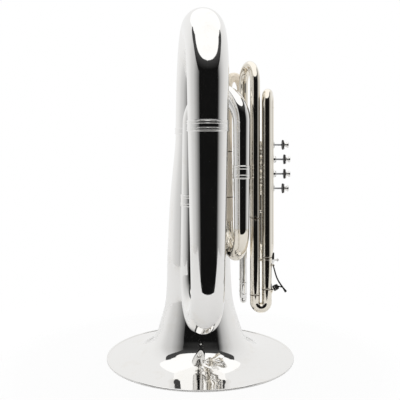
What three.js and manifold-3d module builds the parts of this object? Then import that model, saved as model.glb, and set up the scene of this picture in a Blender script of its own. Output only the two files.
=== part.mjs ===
// A four-valve tuba standing on its bell, in millimetres: +Z is up, the finger buttons point along +X, and
// the bows and branches lie one behind the other along Y. The origin is the middle of its footprint.
import * as THREE from "three";
import Module from "manifold-3d";
import { mergeVertices } from "three/addons/utils/BufferGeometryUtils.js";

const wasm = await Module();
wasm.setup();

// Fits and facets.
const seatGap = 0.3; // between parts that are soldered or seated
const slideFit = 0.3; // round what slides or turns
const cutOverrun = 5;
const samePlace = 1e-3; // two points this close are one
const bigSides = 16;
const smallSides = 8;
const valveSides = 12;
const bellSides = 32;
const bendSteps = 6; // facets along a half turn

// Sheet and tube walls.
const bellWall = 1.2;
const branchWall = 1;
const tubeWall = 0.7;

// The bell: a spun flare that narrows to its throat, leaning a little towards the player's side.
const bellRadius = 250;
const throatRadius = 57;
const bellHeight = 605;
const throatLean = 10;
const rimWireRadius = 2.6;
const bellOutlineShares = [
  [0.007, 0.9], [0.0145, 0.78], [0.031, 0.635], [0.065, 0.515], [0.108, 0.458], [0.155, 0.42],
  [0.246, 0.362], [0.47, 0.333], [0.69, 0.298], [0.87, 0.25],
]; // shares of the height, and of the way from no radius to the rim's

// The bottom bow: the widest bow, at the top of the standing instrument.
const bowTop = 904;
const bowPeakRadius = 52;
const outerBranchX = 17;
const outerBranchY = -300;
const outerBranchRadius = 45;

// The outer branch and the top bow that turns back to the middle branch.
const outerBranchTop = 611;
const outerBranchFoot = 250;
const outerBranchFootRadius = 38;
const middleBranchX = -16;
const middleBranchY = -130;
const middleBranchRadius = 34;
const middleBranchTop = 622;
const middleBranchTopRadius = 28;

// The third branch, its bow from the middle branch, and the small bow to the fourth branch.
const thirdBranchX = 97.5;
const thirdBranchY = -215;
const thirdBranchTopRadius = 20.5;
const thirdBranchFootRadius = 18;
const thirdBranchFoot = 372;
const fourthBranchX = 70;
const fourthBranchY = -75;
const fourthBranchFootRadius = 15;
const fourthBranchTop = 552;

// Ferrules: sleeves over the joints, with a bead at each end.
const ferruleWall = 1.2;
const ferruleBead = 1.6;
const beadWidth = 3;
const bellFerruleLength = 17;
const outerFerruleLength = 26;
const middleFerruleHeight = 431;
const middleFerruleLength = 30;
const thirdFerruleHeight = 505;
const thirdFerruleLength = 32;

// The four valves, numbered from the lowest: casings along X, one above the other.
const valveCount = 4;
const valveY = -100;
const firstValveHeight = 458;
const valvePitch = 36.8;
const outerValveSetback = 4;
const casingFoot = 92;
const casingTop = 178;
const casingRadius = 16;
const casingWall = 1.4;
const capSkirt = 8;
const capWall = 1.3;
const capFloor = 3;
const capBossRadius = 9;
const capBossLength = 11;
const pistonLength = 62;
const pistonStroke = 18;
const portRadius = 7.5;
const knuckleWall = 1.6;
const springWire = 1.6;
const stemRadius = 2.3;
const springPocketDepth = 6.4;
const stemReach = 19; // the stem that shows between the cap and the felt
const feltRadius = 12.5;
const feltThickness = 3.5;
const buttonFlange = 2;
const buttonWaistRadius = 5.5;
const buttonWaistLength = 6;
const buttonRadius = 8.2;
const buttonThickness = 4;
const buttonDome = 1.6;

// The tuning slide, between the valves and the fourth branch: its crook points up.
const tuningTubeRadius = 12;
const tuningCrookTop = 757;
const tuningSleeveTop = 690;
const tuningReturnY = -30;
const tuningInsert = 75;
const tuningElbow = 18;
const tuningStayDrop = 24;

// The fourth valve's tubing: two long tubes in front of the valves, and one that comes back behind them.
const loopRadius = 12;
const loopY = -190;
const leftTubeX = 131;
const rightTubeX = 159;
const leftBowTop = 775;
const rightBowTop = 705;
const loopBackX = 169;
const loopBackY = -146;
const loopBackLow = 272;
const loopReturnY = -62;
const leftSleeveEnd = 394;
const rightSleeveEnd = 300;
const loopCrookLow = 167;
const loopInsert = 85;
const loopElbow = 15.6;

// The slides of the first, second and third valves.
const valveTubeRadius = 8.5;
const firstSlideX = 110;
const firstSlideY = -66;
const firstSleeveEnd = 217;
const firstCrookLow = 163;
const firstInsert = 60;
const firstElbow = 11;
const slideStayDrop = 17;
const thirdSlideSpacing = 22;
const thirdSleeveEnd = 0;
const thirdCrookEnd = 70;
const secondSlideSpacing = 22;
const secondSleeveEnd = -45;
const secondCrookEnd = -5;
const secondInsert = 26;
const thirdInsert = 60;

// The leadpipe round the back of the bell, and the receiver that takes the mouthpiece.
const leadpipeX = 130;
const leadpipeY = 118;
const leadpipeBend = 60;
const leadpipeRadius = 9.5;
const leadpipeMouthRadius = 6.8;
const receiverX = -36;
const receiverLength = 58;
const receiverRadius = 9.5;
const receiverMouthRadius = 7.2;
const receiverGrip = 14;
const receiverEase = 0.35; // the leadpipe's growth inside the receiver

// The water key on the fourth valve's crook.
const keyHeight = 216;
const keyTilt = 0.49; // radians above level
const nippleRadius = 4;
const corkRadius = 7;
const corkLength = 11;
const keyPivotHeight = 281;
const keyPivotReach = 3.2;
const keyPinRadius = 1.3;
const keyHubRadius = 2.6;
const keyPostHalf = 2.2;
const keyPostSpread = 5.5;
const keyArmWidth = 5;
const keyArmThickness = 3.2;
const keyArmReach = 30.3;
const keyArmDrop = 63.5;
const keyArmBulge = 4.5; // towards the tube
const linkShare = 0.82; // how far down the arm the pad is fixed

// The lyre socket and its thumb screw, on the tube behind the right one.
const socketHeight = 279;
const socketWidth = 9;
const socketDepth = 11;
const socketTall = 26;
const socketSlot = 5.4;
const screwRadius = 2;
const screwLength = 6;
const screwKnobRadius = 3.8;
const screwKnobThickness = 5.4;

// Stays: round rods with a saddle at each end.
const stayRadius = 3;
const saddleRadius = 7;
const saddleThickness = 2;
const bellStayShare = 0.752; // of the bell's height
const crookStayHeight = 293;
const loopStayHeight = 409;

// Ports stand clear of the caps' skirts, at the foot end and at the finger end of a casing.
const portClear = 1;
const footPortX = casingFoot + capSkirt + portClear;
const headPortX = casingTop - capSkirt - portClear;
const sideSlideX = footPortX + valveTubeRadius;
const tuningReturnX = footPortX - outerValveSetback + tuningTubeRadius;
const loopInletX = footPortX - outerValveSetback + loopRadius;
const loopReturnX = headPortX - outerValveSetback - loopRadius;

const up = new THREE.Vector3(0, 0, 1);
const alongX = new THREE.Vector3(1, 0, 0);
const alongY = new THREE.Vector3(0, 1, 0);

// Finishes.
function silver(colour = 0xd9d9dc) {
  return new THREE.MeshStandardMaterial({ color: colour, roughness: 0.14, metalness: 1 });
}

function warmSilver() {
  return silver(0xd8cdb8);
}

function blackened() {
  return new THREE.MeshStandardMaterial({ color: 0x1b1b1d, roughness: 0.45, metalness: 0.4 });
}

function felt() {
  return new THREE.MeshStandardMaterial({ color: 0x17171a, roughness: 0.95, metalness: 0 });
}

function springSteel() {
  return new THREE.MeshStandardMaterial({ color: 0x8d9196, roughness: 0.35, metalness: 1 });
}

function at(x, y, z) {
  return new THREE.Vector3(x, y, z);
}

// The corner radius that a hole round a bar needs, so that its flats clear the bar as well.
function around(radius, sides) {
  return radius / Math.cos(Math.PI / sides);
}

// A circular bend of a route: start point, heading, turning axis, radius and angle.
class Bend extends THREE.Curve {
  constructor(start, heading, axis, radius, angle) {
    super();
    this.heading = heading;
    this.axis = axis;
    this.angle = angle;
    this.radius = radius;
    this.spoke = heading.clone().cross(axis).multiplyScalar(radius);
    this.centre = start.clone().sub(this.spoke);
  }
  getPoint(t) {
    return this.centre.clone().add(this.spoke.clone().applyAxisAngle(this.axis, t * this.angle));
  }
  getTangent(t) {
    return this.heading.clone().applyAxisAngle(this.axis, t * this.angle);
  }
  getLength() {
    return this.radius * this.angle;
  }
}

// A route of straight runs through the corners, with a circular bend of its own radius at each inner corner.
function route(corners, bends) {
  const runs = [];
  let from = corners[0];
  const straightTo = (point) => {
    if (from.distanceTo(point) > samePlace) {
      runs.push(new THREE.LineCurve3(from, point));
    }
  };
  for (let i = 1; i < corners.length - 1; i += 1) {
    const before = corners[i].clone().sub(corners[i - 1]).normalize();
    const after = corners[i + 1].clone().sub(corners[i]).normalize();
    const angle = before.angleTo(after);
    const radius = bends[i - 1];
    const reach = radius * Math.tan(angle / 2);
    const start = corners[i].clone().addScaledVector(before, -reach);
    straightTo(start);
    runs.push(new Bend(start, before, before.clone().cross(after).normalize(), radius, angle));
    from = corners[i].clone().addScaledVector(after, reach);
  }
  straightTo(corners[corners.length - 1]);
  return runs;
}

// The two corners of a half turn between two parallel tubes, whose centre line peaks at the given height.
function halfTurn(first, second, height) {
  return [at(first.x, first.y, height), at(second.x, second.y, height)];
}

function halfGap(first, second) {
  return Math.hypot(first.x - second.x, first.y - second.y) / 2;
}

function routeLength(runs) {
  return runs.reduce((sum, run) => sum + run.getLength(), 0);
}

// The distances along a route where a ring of facets is needed.
function stations(runs) {
  const found = [0];
  let gone = 0;
  for (const run of runs) {
    const steps = run instanceof Bend ? Math.max(2, Math.round((bendSteps * run.angle) / Math.PI)) : 1;
    for (let i = 1; i <= steps; i += 1) {
      found.push(gone + (run.getLength() * i) / steps);
    }
    gone += run.getLength();
  }
  return found;
}

// A ring of points round the route at a distance along it; a ring of no radius is one point.
function ringAt(runs, distance, radius, side, sides) {
  let left = distance;
  let i = 0;
  while (i < runs.length - 1 && left > runs[i].getLength() + samePlace) {
    left -= runs[i].getLength();
    i += 1;
  }
  const share = left / runs[i].getLength();
  const centre = runs[i] instanceof Bend ? runs[i].getPoint(share) : runs[i].getPointAt(share);
  if (radius === 0) {
    return [centre];
  }
  const heading = runs[i].getTangent(share);
  const normal = side.clone().addScaledVector(heading, -side.dot(heading)).normalize();
  const across = heading.clone().cross(normal);
  const points = [];
  for (let k = 0; k < sides; k += 1) {
    const angle = (2 * Math.PI * k) / sides;
    points.push(
      centre.clone()
        .addScaledVector(normal, radius * Math.cos(angle))
        .addScaledVector(across, radius * Math.sin(angle)),
    );
  }
  return points;
}

// Facets between rings taken in order; a closed loft joins the last ring to the first.
function loft(rings, closed) {
  const positions = [];
  const index = [];
  const starts = [];
  for (const ring of rings) {
    starts.push(positions.length / 3);
    for (const point of ring) {
      positions.push(point.x, point.y, point.z);
    }
  }
  const spans = closed ? rings.length : rings.length - 1;
  for (let i = 0; i < spans; i += 1) {
    const next = (i + 1) % rings.length;
    const here = rings[i].length;
    const there = rings[next].length;
    for (let k = 0; k < Math.max(here, there); k += 1) {
      const a0 = starts[i] + (k % here);
      const a1 = starts[i] + ((k + 1) % here);
      const b0 = starts[next] + (k % there);
      const b1 = starts[next] + ((k + 1) % there);
      if (here > 1) {
        index.push(a0, a1, b0);
      }
      if (there > 1) {
        index.push(a1, b1, b0);
      }
    }
  }
  const geometry = new THREE.BufferGeometry();
  geometry.setAttribute("position", new THREE.Float32BufferAttribute(positions, 3));
  geometry.setIndex(index);
  return geometry;
}

// A turned body along a route: its outline is a list of [distance, radius], closed unless it ends on the
// axis.
function turned(runs, outline, side, sides) {
  const rings = outline.map(([distance, radius]) => ringAt(runs, distance, radius, side, sides));
  return loft(rings, outline[0][1] !== 0);
}

// A tube along a route whose outer and bore radii are functions of the distance.
function tube(runs, outer, bore, side, sides) {
  const along = stations(runs);
  const outline = along.map((distance) => [distance, outer(distance)]);
  return turned(runs, outline.concat(along.reverse().map((d) => [d, bore(d)])), side, sides);
}

// A tube of one wall whose radius runs evenly from one end to the other.
function taperedTube(runs, first, last, wall, side, sides) {
  const length = routeLength(runs);
  const outer = (distance) => THREE.MathUtils.lerp(first, last, distance / length);
  return tube(runs, outer, (distance) => outer(distance) - wall, side, sides);
}

function straight(from, heading, length) {
  return [new THREE.LineCurve3(from, from.clone().addScaledVector(heading, length))];
}

function rod(from, heading, length, radius, side, sides) {
  const outline = [[0, 0], [0, radius], [length, radius], [length, 0]];
  return turned(straight(from, heading, length), outline, side, sides);
}

function solidOf(geometry) {
  const bare = geometry.clone();
  bare.deleteAttribute("normal");
  bare.deleteAttribute("uv");
  const merged = mergeVertices(bare);
  return new wasm.Manifold(
    new wasm.Mesh({
      numProp: 3,
      vertProperties: new Float32Array(merged.attributes.position.array),
      triVerts: new Uint32Array(merged.index.array),
    }),
  );
}

function geometryOf(solid) {
  const mesh = solid.getMesh();
  const geometry = new THREE.BufferGeometry();
  geometry.setAttribute("position", new THREE.BufferAttribute(new Float32Array(mesh.vertProperties), 3));
  geometry.setIndex(new THREE.BufferAttribute(new Uint32Array(mesh.triVerts), 1));
  return geometry;
}

// One body joined from several geometries, less those that are cut away.
function joined(added, cut = []) {
  let solid = solidOf(added[0]);
  for (const geometry of added.slice(1)) {
    solid = solid.add(solidOf(geometry));
  }
  for (const geometry of cut) {
    solid = solid.subtract(solidOf(geometry));
  }
  return geometryOf(solid);
}

function box(width, depth, height, centre) {
  return new THREE.BoxGeometry(width, depth, height).translate(centre.x, centre.y, centre.z);
}

const tuba = new THREE.Group();

function piece(name, geometry, material) {
  const mesh = new THREE.Mesh(geometry, material);
  mesh.name = name;
  mesh.geometry.computeVertexNormals();
  tuba.add(mesh);
  return mesh;
}

// A sleeve over a joint of two tubes on one line, with a bead at each end.
function ferrule(name, middle, heading, length, startRadius, endRadius, side) {
  const runs = straight(middle.clone().addScaledVector(heading, -length / 2), heading, length);
  const bore = (distance) =>
    around(THREE.MathUtils.lerp(startRadius, endRadius, distance / length) + seatGap, bigSides);
  const sleeve = (distance) => bore(distance) + ferruleWall;
  const bead = (distance) => sleeve(distance) + ferruleBead;
  const outline = [
    [0, bead(0)], [beadWidth, bead(beadWidth)], [beadWidth, sleeve(beadWidth)],
    [length - beadWidth, sleeve(length - beadWidth)], [length - beadWidth, bead(length - beadWidth)],
    [length, bead(length)], [length, bore(length)], [0, bore(0)],
  ];
  piece(name, turned(runs, outline, side, bigSides), silver());
}

// The bell, with its wire rolled into the rim.
const bellTop = at(-throatLean, 0, bellHeight);

function makeBell() {
  const wireFlat = rimWireRadius / 2;
  const sheet = [[0, bellRadius - 2 * rimWireRadius]];
  for (const [heightShare, radiusShare] of bellOutlineShares) {
    sheet.push([heightShare * bellHeight, radiusShare * bellRadius]);
  }
  sheet.push([bellHeight - bellFerruleLength, throatRadius], [bellHeight, throatRadius]);
  const centreAt = (height) => at((-throatLean * height) / bellHeight, 0, height);
  const ring = (height, radius) =>
    ringAt([new THREE.LineCurve3(at(0, 0, 0), up)], 0, radius, alongX, bellSides).map((point) =>
      point.add(centreAt(height)),
    );
  const outside = [
    ring(0, bellRadius - 2 * rimWireRadius), ring(0, bellRadius - wireFlat),
    ring(wireFlat, bellRadius), ring(2 * rimWireRadius - wireFlat, bellRadius),
    ring(2 * rimWireRadius, bellRadius - wireFlat), ring(2 * rimWireRadius, bellRadius - 2 * rimWireRadius),
  ];
  const inside = [];
  for (const [height, radius] of sheet.slice(1)) {
    outside.push(ring(Math.max(height, 2 * rimWireRadius) + bellWall, radius));
    inside.push(ring(height, Math.max(radius - bellWall, 0)));
  }
  outside[outside.length - 1] = ring(bellHeight, throatRadius);
  piece("bell", loft(outside.concat(inside.reverse()), true), silver());
}

// The bottom bow, from the bell's throat over to the outer branch.
const outerBranchHead = at(outerBranchX, outerBranchY, outerBranchTop);

// The direction square to the upright plane through two tubes.
function planeOf(first, last) {
  return at(first.y - last.y, last.x - first.x, 0).normalize();
}

const bigPlane = planeOf(bellTop, outerBranchHead);

function makeBottomBow() {
  const start = bellTop.clone().addScaledVector(up, seatGap);
  const corners = [start, ...halfTurn(start, outerBranchHead, bowTop - bowPeakRadius), outerBranchHead];
  const bend = halfGap(start, outerBranchHead);
  const runs = route(corners, [bend, bend]);
  const geometry = taperedTube(runs, throatRadius, outerBranchRadius, branchWall, bigPlane, bigSides);
  piece("bottom_bow", geometry, silver());
  ferrule("bell_ferrule", bellTop, up, bellFerruleLength, throatRadius, throatRadius, bigPlane);
}

// The outer branch, straight down from the bottom bow.
const outerBranchEnd = at(outerBranchX, outerBranchY, outerBranchFoot);

function makeOuterBranch() {
  const start = outerBranchHead.clone().addScaledVector(up, -seatGap);
  const runs = route([start, outerBranchEnd], []);
  const geometry = taperedTube(
    runs, outerBranchRadius, outerBranchFootRadius, branchWall, bigPlane, bigSides);
  piece("outer_branch", geometry, silver());
  ferrule("outer_branch_ferrule", outerBranchHead, up, outerFerruleLength,
    outerBranchRadius, outerBranchRadius, bigPlane);
}

// The top bow, from the outer branch round to the middle branch.
const middleBranchHead = at(middleBranchX, middleBranchY, middleBranchTop);

function makeTopBow() {
  const start = outerBranchEnd.clone().addScaledVector(up, -seatGap);
  const end = at(middleBranchX, middleBranchY, start.z);
  const bend = halfGap(start, end);
  const runs = route([start, ...halfTurn(start, end, start.z - bend), end], [bend, bend]);
  const geometry = taperedTube(
    runs, outerBranchFootRadius, middleBranchRadius, branchWall, alongX, bigSides);
  piece("top_bow", geometry, silver());
}

function middleRadiusAt(height) {
  return THREE.MathUtils.mapLinear(
    height, outerBranchFoot, middleBranchTop, middleBranchRadius, middleBranchTopRadius);
}

function makeMiddleBranch() {
  const start = at(middleBranchX, middleBranchY, outerBranchFoot);
  const joint = at(middleBranchX, middleBranchY, middleFerruleHeight);
  const runs = route([start, middleBranchHead], []);
  const geometry = taperedTube(
    runs, middleBranchRadius, middleBranchTopRadius, branchWall, alongX, bigSides);
  piece("middle_branch", geometry, silver());
  ferrule("middle_branch_ferrule", joint, up, middleFerruleLength,
    middleRadiusAt(middleFerruleHeight - middleFerruleLength / 2),
    middleRadiusAt(middleFerruleHeight + middleFerruleLength / 2), alongX);
}

// The second bottom bow, from the middle branch over to the third branch.
const thirdBranchHead = at(thirdBranchX, thirdBranchY, middleBranchTop);

function makeSecondBow() {
  const plane = planeOf(middleBranchHead, thirdBranchHead);
  const start = middleBranchHead.clone().addScaledVector(up, seatGap);
  const end = thirdBranchHead.clone().addScaledVector(up, seatGap);
  const bend = halfGap(start, end);
  const runs = route([start, ...halfTurn(start, end, start.z + bend), end], [bend, bend]);
  const geometry = taperedTube(
    runs, middleBranchTopRadius, thirdBranchTopRadius, branchWall, plane, bigSides);
  piece("second_bow", geometry, silver());
}

function thirdRadiusAt(height) {
  return THREE.MathUtils.mapLinear(
    height, middleBranchTop, thirdBranchFoot, thirdBranchTopRadius, thirdBranchFootRadius);
}

function makeThirdBranch() {
  const foot = at(thirdBranchX, thirdBranchY, thirdBranchFoot);
  const joint = at(thirdBranchX, thirdBranchY, thirdFerruleHeight);
  const runs = route([thirdBranchHead, foot], []);
  const geometry = taperedTube(
    runs, thirdBranchTopRadius, thirdBranchFootRadius, branchWall, alongY, bigSides);
  piece("third_branch", geometry, silver());
  ferrule("third_branch_ferrule", joint, up, thirdFerruleLength,
    thirdRadiusAt(thirdFerruleHeight - thirdFerruleLength / 2),
    thirdRadiusAt(thirdFerruleHeight + thirdFerruleLength / 2), alongY);
}

// The small bow, from the third branch round to the fourth.
function makeSmallBow() {
  const start = at(thirdBranchX, thirdBranchY, thirdBranchFoot - seatGap);
  const end = at(fourthBranchX, fourthBranchY, start.z);
  const bend = halfGap(start, end);
  const runs = route([start, ...halfTurn(start, end, start.z - bend), end], [bend, bend]);
  const geometry = taperedTube(
    runs, thirdBranchFootRadius, fourthBranchFootRadius, branchWall, alongX, smallSides);
  piece("small_bow", geometry, silver());
}

function makeFourthBranch() {
  const foot = at(fourthBranchX, fourthBranchY, thirdBranchFoot);
  const head = at(fourthBranchX, fourthBranchY, fourthBranchTop);
  const runs = route([foot, head], []);
  const geometry = taperedTube(
    runs, fourthBranchFootRadius, tuningTubeRadius, tubeWall, alongX, smallSides);
  piece("fourth_branch", geometry, warmSilver());
}

// The valve whose count is given, from the lowest up: how far out it stands, and its height.
function valvePlace(count) {
  const outer = count === 0 || count === valveCount - 1;
  return at(outer ? -outerValveSetback : 0, valveY, firstValveHeight + count * valvePitch);
}

const pistonRadius = casingRadius - casingWall - slideFit;
const knuckleX = casingFoot + (casingTop - casingFoot) / 3;

function valveLine(count, x) {
  return valvePlace(count).add(at(x, 0, 0));
}

// The end of a tube that is soldered on a casing's side: how far from the casing's axis it starts.
const portReach = casingRadius + seatGap;

// The valve block: four casings brazed together by the knuckles between them, with a port for each tube.
function makeValveBlock() {
  const casings = [];
  const bores = [];
  for (let i = 0; i < valveCount; i += 1) {
    const length = casingTop - casingFoot;
    casings.push(rod(valveLine(i, casingFoot), alongX, length, casingRadius, up, valveSides));
    bores.push(rod(valveLine(i, casingFoot - cutOverrun), alongX, length + 2 * cutOverrun,
      casingRadius - casingWall, up, valveSides));
  }
  const low = at(knuckleX, valveY, firstValveHeight);
  const height = (valveCount - 1) * valvePitch;
  const knuckles = rod(low, up, height, portRadius + knuckleWall, alongX, smallSides);
  const passage = rod(low, up, height, portRadius, alongX, smallSides);
  const ports = [
    rod(valveLine(0, firstSlideX + outerValveSetback), up.clone().negate(), casingRadius + cutOverrun,
      valveTubeRadius - tubeWall, alongX, smallSides),
    rod(valveLine(valveCount - 1, loopInletX + outerValveSetback), up, casingRadius + cutOverrun,
      loopRadius - 2 * tubeWall - slideFit, alongX, smallSides),
  ];
  const sidePorts = [
    [0, firstSlideX + outerValveSetback, valveTubeRadius - tubeWall],
    [0, leadpipeX + outerValveSetback, leadpipeRadius - tubeWall],
    [1, sideSlideX, valveTubeRadius - tubeWall],
    [1, sideSlideX + secondSlideSpacing, valveTubeRadius - tubeWall],
    [2, sideSlideX, valveTubeRadius - tubeWall],
    [2, sideSlideX + thirdSlideSpacing, valveTubeRadius - tubeWall],
    [valveCount - 1, tuningReturnX + outerValveSetback, loopRadius - 2 * tubeWall - slideFit],
    [valveCount - 1, loopReturnX + outerValveSetback, loopRadius - 2 * tubeWall - slideFit],
  ];
  for (const [count, x, radius] of sidePorts) {
    ports.push(rod(valveLine(count, x), alongY, casingRadius + cutOverrun, radius, up, smallSides));
  }
  piece("valve_block", joined([...casings, knuckles], [...bores, passage, ...ports]), silver());
}

// A screwed cap over a casing's end: the skirt outside, the floor, and on the finger side a boss for the
// stem.
function capGeometry(end, heading, bossLength, holeRadius) {
  const skirtBore = around(casingRadius + seatGap, valveSides);
  const skirtRadius = skirtBore + capWall;
  const floorAt = capSkirt + seatGap;
  const outline = [[0, skirtBore], [0, skirtRadius], [floorAt + capFloor, skirtRadius]];
  if (bossLength > 0) {
    outline.push([floorAt + capFloor, capBossRadius], [floorAt + capFloor + bossLength, capBossRadius]);
    outline.push([floorAt + capFloor + bossLength, holeRadius], [floorAt, holeRadius], [floorAt, skirtBore]);
  } else {
    outline.unshift([floorAt, 0], [floorAt, skirtBore]);
    outline.push([floorAt + capFloor, 0]);
  }
  const start = end.clone().addScaledVector(heading, -capSkirt);
  const runs = straight(start, heading, floorAt + capFloor + bossLength);
  return turned(runs, outline, up, valveSides);
}

// One valve: caps, spring, piston with its stem, felt and finger button, all placed from the casing's ends.
function makeValve(count) {
  const number = count + 1;
  const foot = valveLine(count, casingFoot);
  const head = valveLine(count, casingTop);
  piece(`bottom_cap_${number}`, capGeometry(foot, alongX.clone().negate(), 0, 0), silver());
  const stemHole = around(stemRadius + slideFit, valveSides);
  piece(`top_cap_${number}`, capGeometry(head, alongX, capBossLength, stemHole), silver());

  const pistonFoot = head.clone().add(at(-pistonLength, 0, 0));
  const springBore = pistonRadius - 2 * springWire;
  const bossEnd = casingTop + seatGap + capFloor + capBossLength;
  const stemEnd = bossEnd + stemReach + feltThickness + buttonFlange;
  const stemStart = casingTop - springWire;
  const stem = rod(valveLine(count, stemStart), alongX, stemEnd - stemStart, stemRadius, up, smallSides);
  const body = rod(pistonFoot, alongX, pistonLength, pistonRadius, up, valveSides);
  const restFoot = valveLine(count, knuckleX).addScaledVector(up, -casingRadius);
  const restPassage = rod(restFoot, up, 2 * casingRadius, portRadius - slideFit, alongX, smallSides);
  const pressedFoot = valveLine(count, knuckleX + pistonStroke).addScaledVector(alongY, -casingRadius);
  const pressedPassage = rod(pressedFoot, alongY, 2 * casingRadius, portRadius - slideFit, up, smallSides);
  const springPocket = rod(pistonFoot.clone().add(at(-cutOverrun, 0, 0)), alongX,
    springPocketDepth + cutOverrun, springBore + springWire / 2, up, valveSides);
  const piston = joined([body, stem], [restPassage, pressedPassage, springPocket]);
  piece(`piston_${number}`, piston, springSteel());

  const springStart = foot.clone().add(at(-seatGap + slideFit, 0, 0));
  const springLength = pistonFoot.x + springPocketDepth - springStart.x - slideFit;
  piece(`valve_spring_${number}`, turned(straight(springStart, alongX, springLength), [
    [0, springBore], [springLength, springBore], [springLength, springBore - springWire],
    [0, springBore - springWire],
  ], up, smallSides), springSteel());

  const hole = around(stemRadius + slideFit, smallSides);
  const feltStart = valveLine(count, bossEnd + stemReach);
  piece(`felt_${number}`, turned(straight(feltStart, alongX, feltThickness), [
    [0, hole], [0, feltRadius], [feltThickness, feltRadius], [feltThickness, hole],
  ], up, valveSides), felt());

  const buttonStart = feltStart.clone().add(at(feltThickness + seatGap, 0, 0));
  const waistEnd = buttonFlange + buttonWaistLength;
  const socket = buttonFlange + slideFit;
  const topEnd = waistEnd + buttonThickness;
  piece(`finger_button_${number}`, turned(straight(buttonStart, alongX, topEnd + buttonDome), [
    [socket, 0], [socket, hole], [0, hole], [0, feltRadius], [buttonFlange, feltRadius],
    [buttonFlange, buttonWaistRadius], [waistEnd, buttonWaistRadius], [waistEnd, buttonRadius],
    [topEnd, buttonRadius], [topEnd + buttonDome, buttonRadius / 2], [topEnd + buttonDome, 0],
  ], up, valveSides), silver());
}

// The sleeves that a slide's legs run in, and the crook that slides in them.
const crookLegRadius = (sleeveRadius) => sleeveRadius - tubeWall - slideFit;

// A crook: two legs that fit in sleeves and the bow between them, drawn over the same route.
function crook(corners, bend, sleeveRadius, insertFirst, insertLast, side) {
  const runs = route(corners, [bend, bend]);
  const length = routeLength(runs);
  const leg = crookLegRadius(sleeveRadius);
  const along = stations(runs).slice(1, -1);
  const first = insertFirst + seatGap;
  const last = length - insertLast - seatGap;
  const outline = [[0, leg], [first, leg], [first, sleeveRadius]];
  for (const distance of along) {
    if (distance > first && distance < last) {
      outline.push([distance, sleeveRadius]);
    }
  }
  outline.push([last, sleeveRadius], [last, leg], [length, leg], [length, leg - tubeWall]);
  for (const distance of along.slice().reverse()) {
    outline.push([distance, leg - tubeWall]);
  }
  outline.push([0, leg - tubeWall]);
  return turned(runs, outline, side, smallSides);
}

// A stay: a rod between two points, with a round saddle just off the surface at each end.
function stay(from, to) {
  const heading = to.clone().sub(from).normalize();
  const length = from.distanceTo(to);
  const outline = [
    [0, 0], [0, saddleRadius], [saddleThickness, saddleRadius], [2 * saddleThickness, stayRadius],
    [length - 2 * saddleThickness, stayRadius], [length - saddleThickness, saddleRadius],
    [length, saddleRadius], [length, 0],
  ];
  return turned(straight(from, heading, length), outline, up, smallSides);
}

// The tuning slide: two sleeves joined by a stay, one on the fourth branch and one from the last valve.
const tuningLeft = at(fourthBranchX, fourthBranchY, fourthBranchTop);
const tuningRight = at(tuningReturnX, tuningReturnY, tuningSleeveTop);

function makeTuningSlide() {
  const bore = () => tuningTubeRadius - tubeWall;
  const wall = () => tuningTubeRadius;
  const leftStart = tuningLeft.clone().addScaledVector(up, seatGap);
  const leftTop = at(fourthBranchX, fourthBranchY, tuningSleeveTop);
  const left = tube(route([leftStart, leftTop], []), wall, bore, alongX, smallSides);
  const corner = at(tuningReturnX, tuningReturnY, valvePlace(valveCount - 1).z);
  const port = at(corner.x, valveY + portReach, corner.z);
  const right = tube(route([tuningRight, corner, port], [tuningElbow]), wall, bore, alongX, smallSides);
  const across = tuningRight.clone().sub(leftTop).normalize();
  const stayHeight = up.clone().multiplyScalar(-tuningStayDrop);
  const inset = tuningTubeRadius - tubeWall;
  const brace = rod(leftTop.clone().add(stayHeight).addScaledVector(across, inset), across,
    leftTop.distanceTo(tuningRight) - 2 * inset, stayRadius, up, smallSides);
  const clearLeft = rod(leftStart, up, tuningSleeveTop - leftStart.z, inset, alongX, smallSides);
  const clearRight = rod(corner, up, tuningSleeveTop - corner.z, inset, alongX, smallSides);
  const braceOnly = geometryOf(solidOf(brace).subtract(solidOf(clearLeft)).subtract(solidOf(clearRight)));
  piece("tuning_slide_sleeves", joined([left, right, braceOnly]), warmSilver());

  const bend = halfGap(leftTop, tuningRight);
  const peak = tuningCrookTop - tuningTubeRadius;
  const legFoot = tuningSleeveTop - tuningInsert;
  const corners = [
    at(leftTop.x, leftTop.y, legFoot), ...halfTurn(leftTop, tuningRight, peak),
    at(tuningRight.x, tuningRight.y, legFoot),
  ];
  const geometry = crook(corners, bend, tuningTubeRadius, tuningInsert, tuningInsert, alongX);
  piece("tuning_slide_crook", geometry, warmSilver());
}

// The fourth valve's tubing.
const leftTube = at(leftTubeX, loopY, leftSleeveEnd);
const rightTube = at(rightTubeX, loopY, rightSleeveEnd);

function makeFourthValveTubing() {
  const bore = () => loopRadius - tubeWall;
  const wall = () => loopRadius;
  const valve = valvePlace(valveCount - 1);
  const inlet = at(loopInletX, valveY, valve.z + portReach);
  const leftBend = halfGap(inlet, leftTube);
  const leftRuns = route(
    [inlet, ...halfTurn(inlet, leftTube, leftBowTop - loopRadius), leftTube], [leftBend, leftBend]);
  piece("fourth_valve_inlet_tube", tube(leftRuns, wall, bore, alongX, smallSides), silver());

  const back = at(loopBackX, loopBackY, 0);
  const home = at(loopReturnX, loopReturnY, valve.z);
  const port = at(loopReturnX, valveY + portReach, valve.z);
  const rightBend = halfGap(rightTube, back);
  const backBend = halfGap(back, home);
  const rightRuns = route([
    rightTube, ...halfTurn(rightTube, back, rightBowTop - loopRadius),
    ...halfTurn(back, home, loopBackLow + loopRadius), home, port,
  ], [rightBend, rightBend, backBend, backBend, loopElbow]);
  piece("fourth_valve_return_tube", tube(rightRuns, wall, bore, alongX, smallSides), silver());
}

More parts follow.
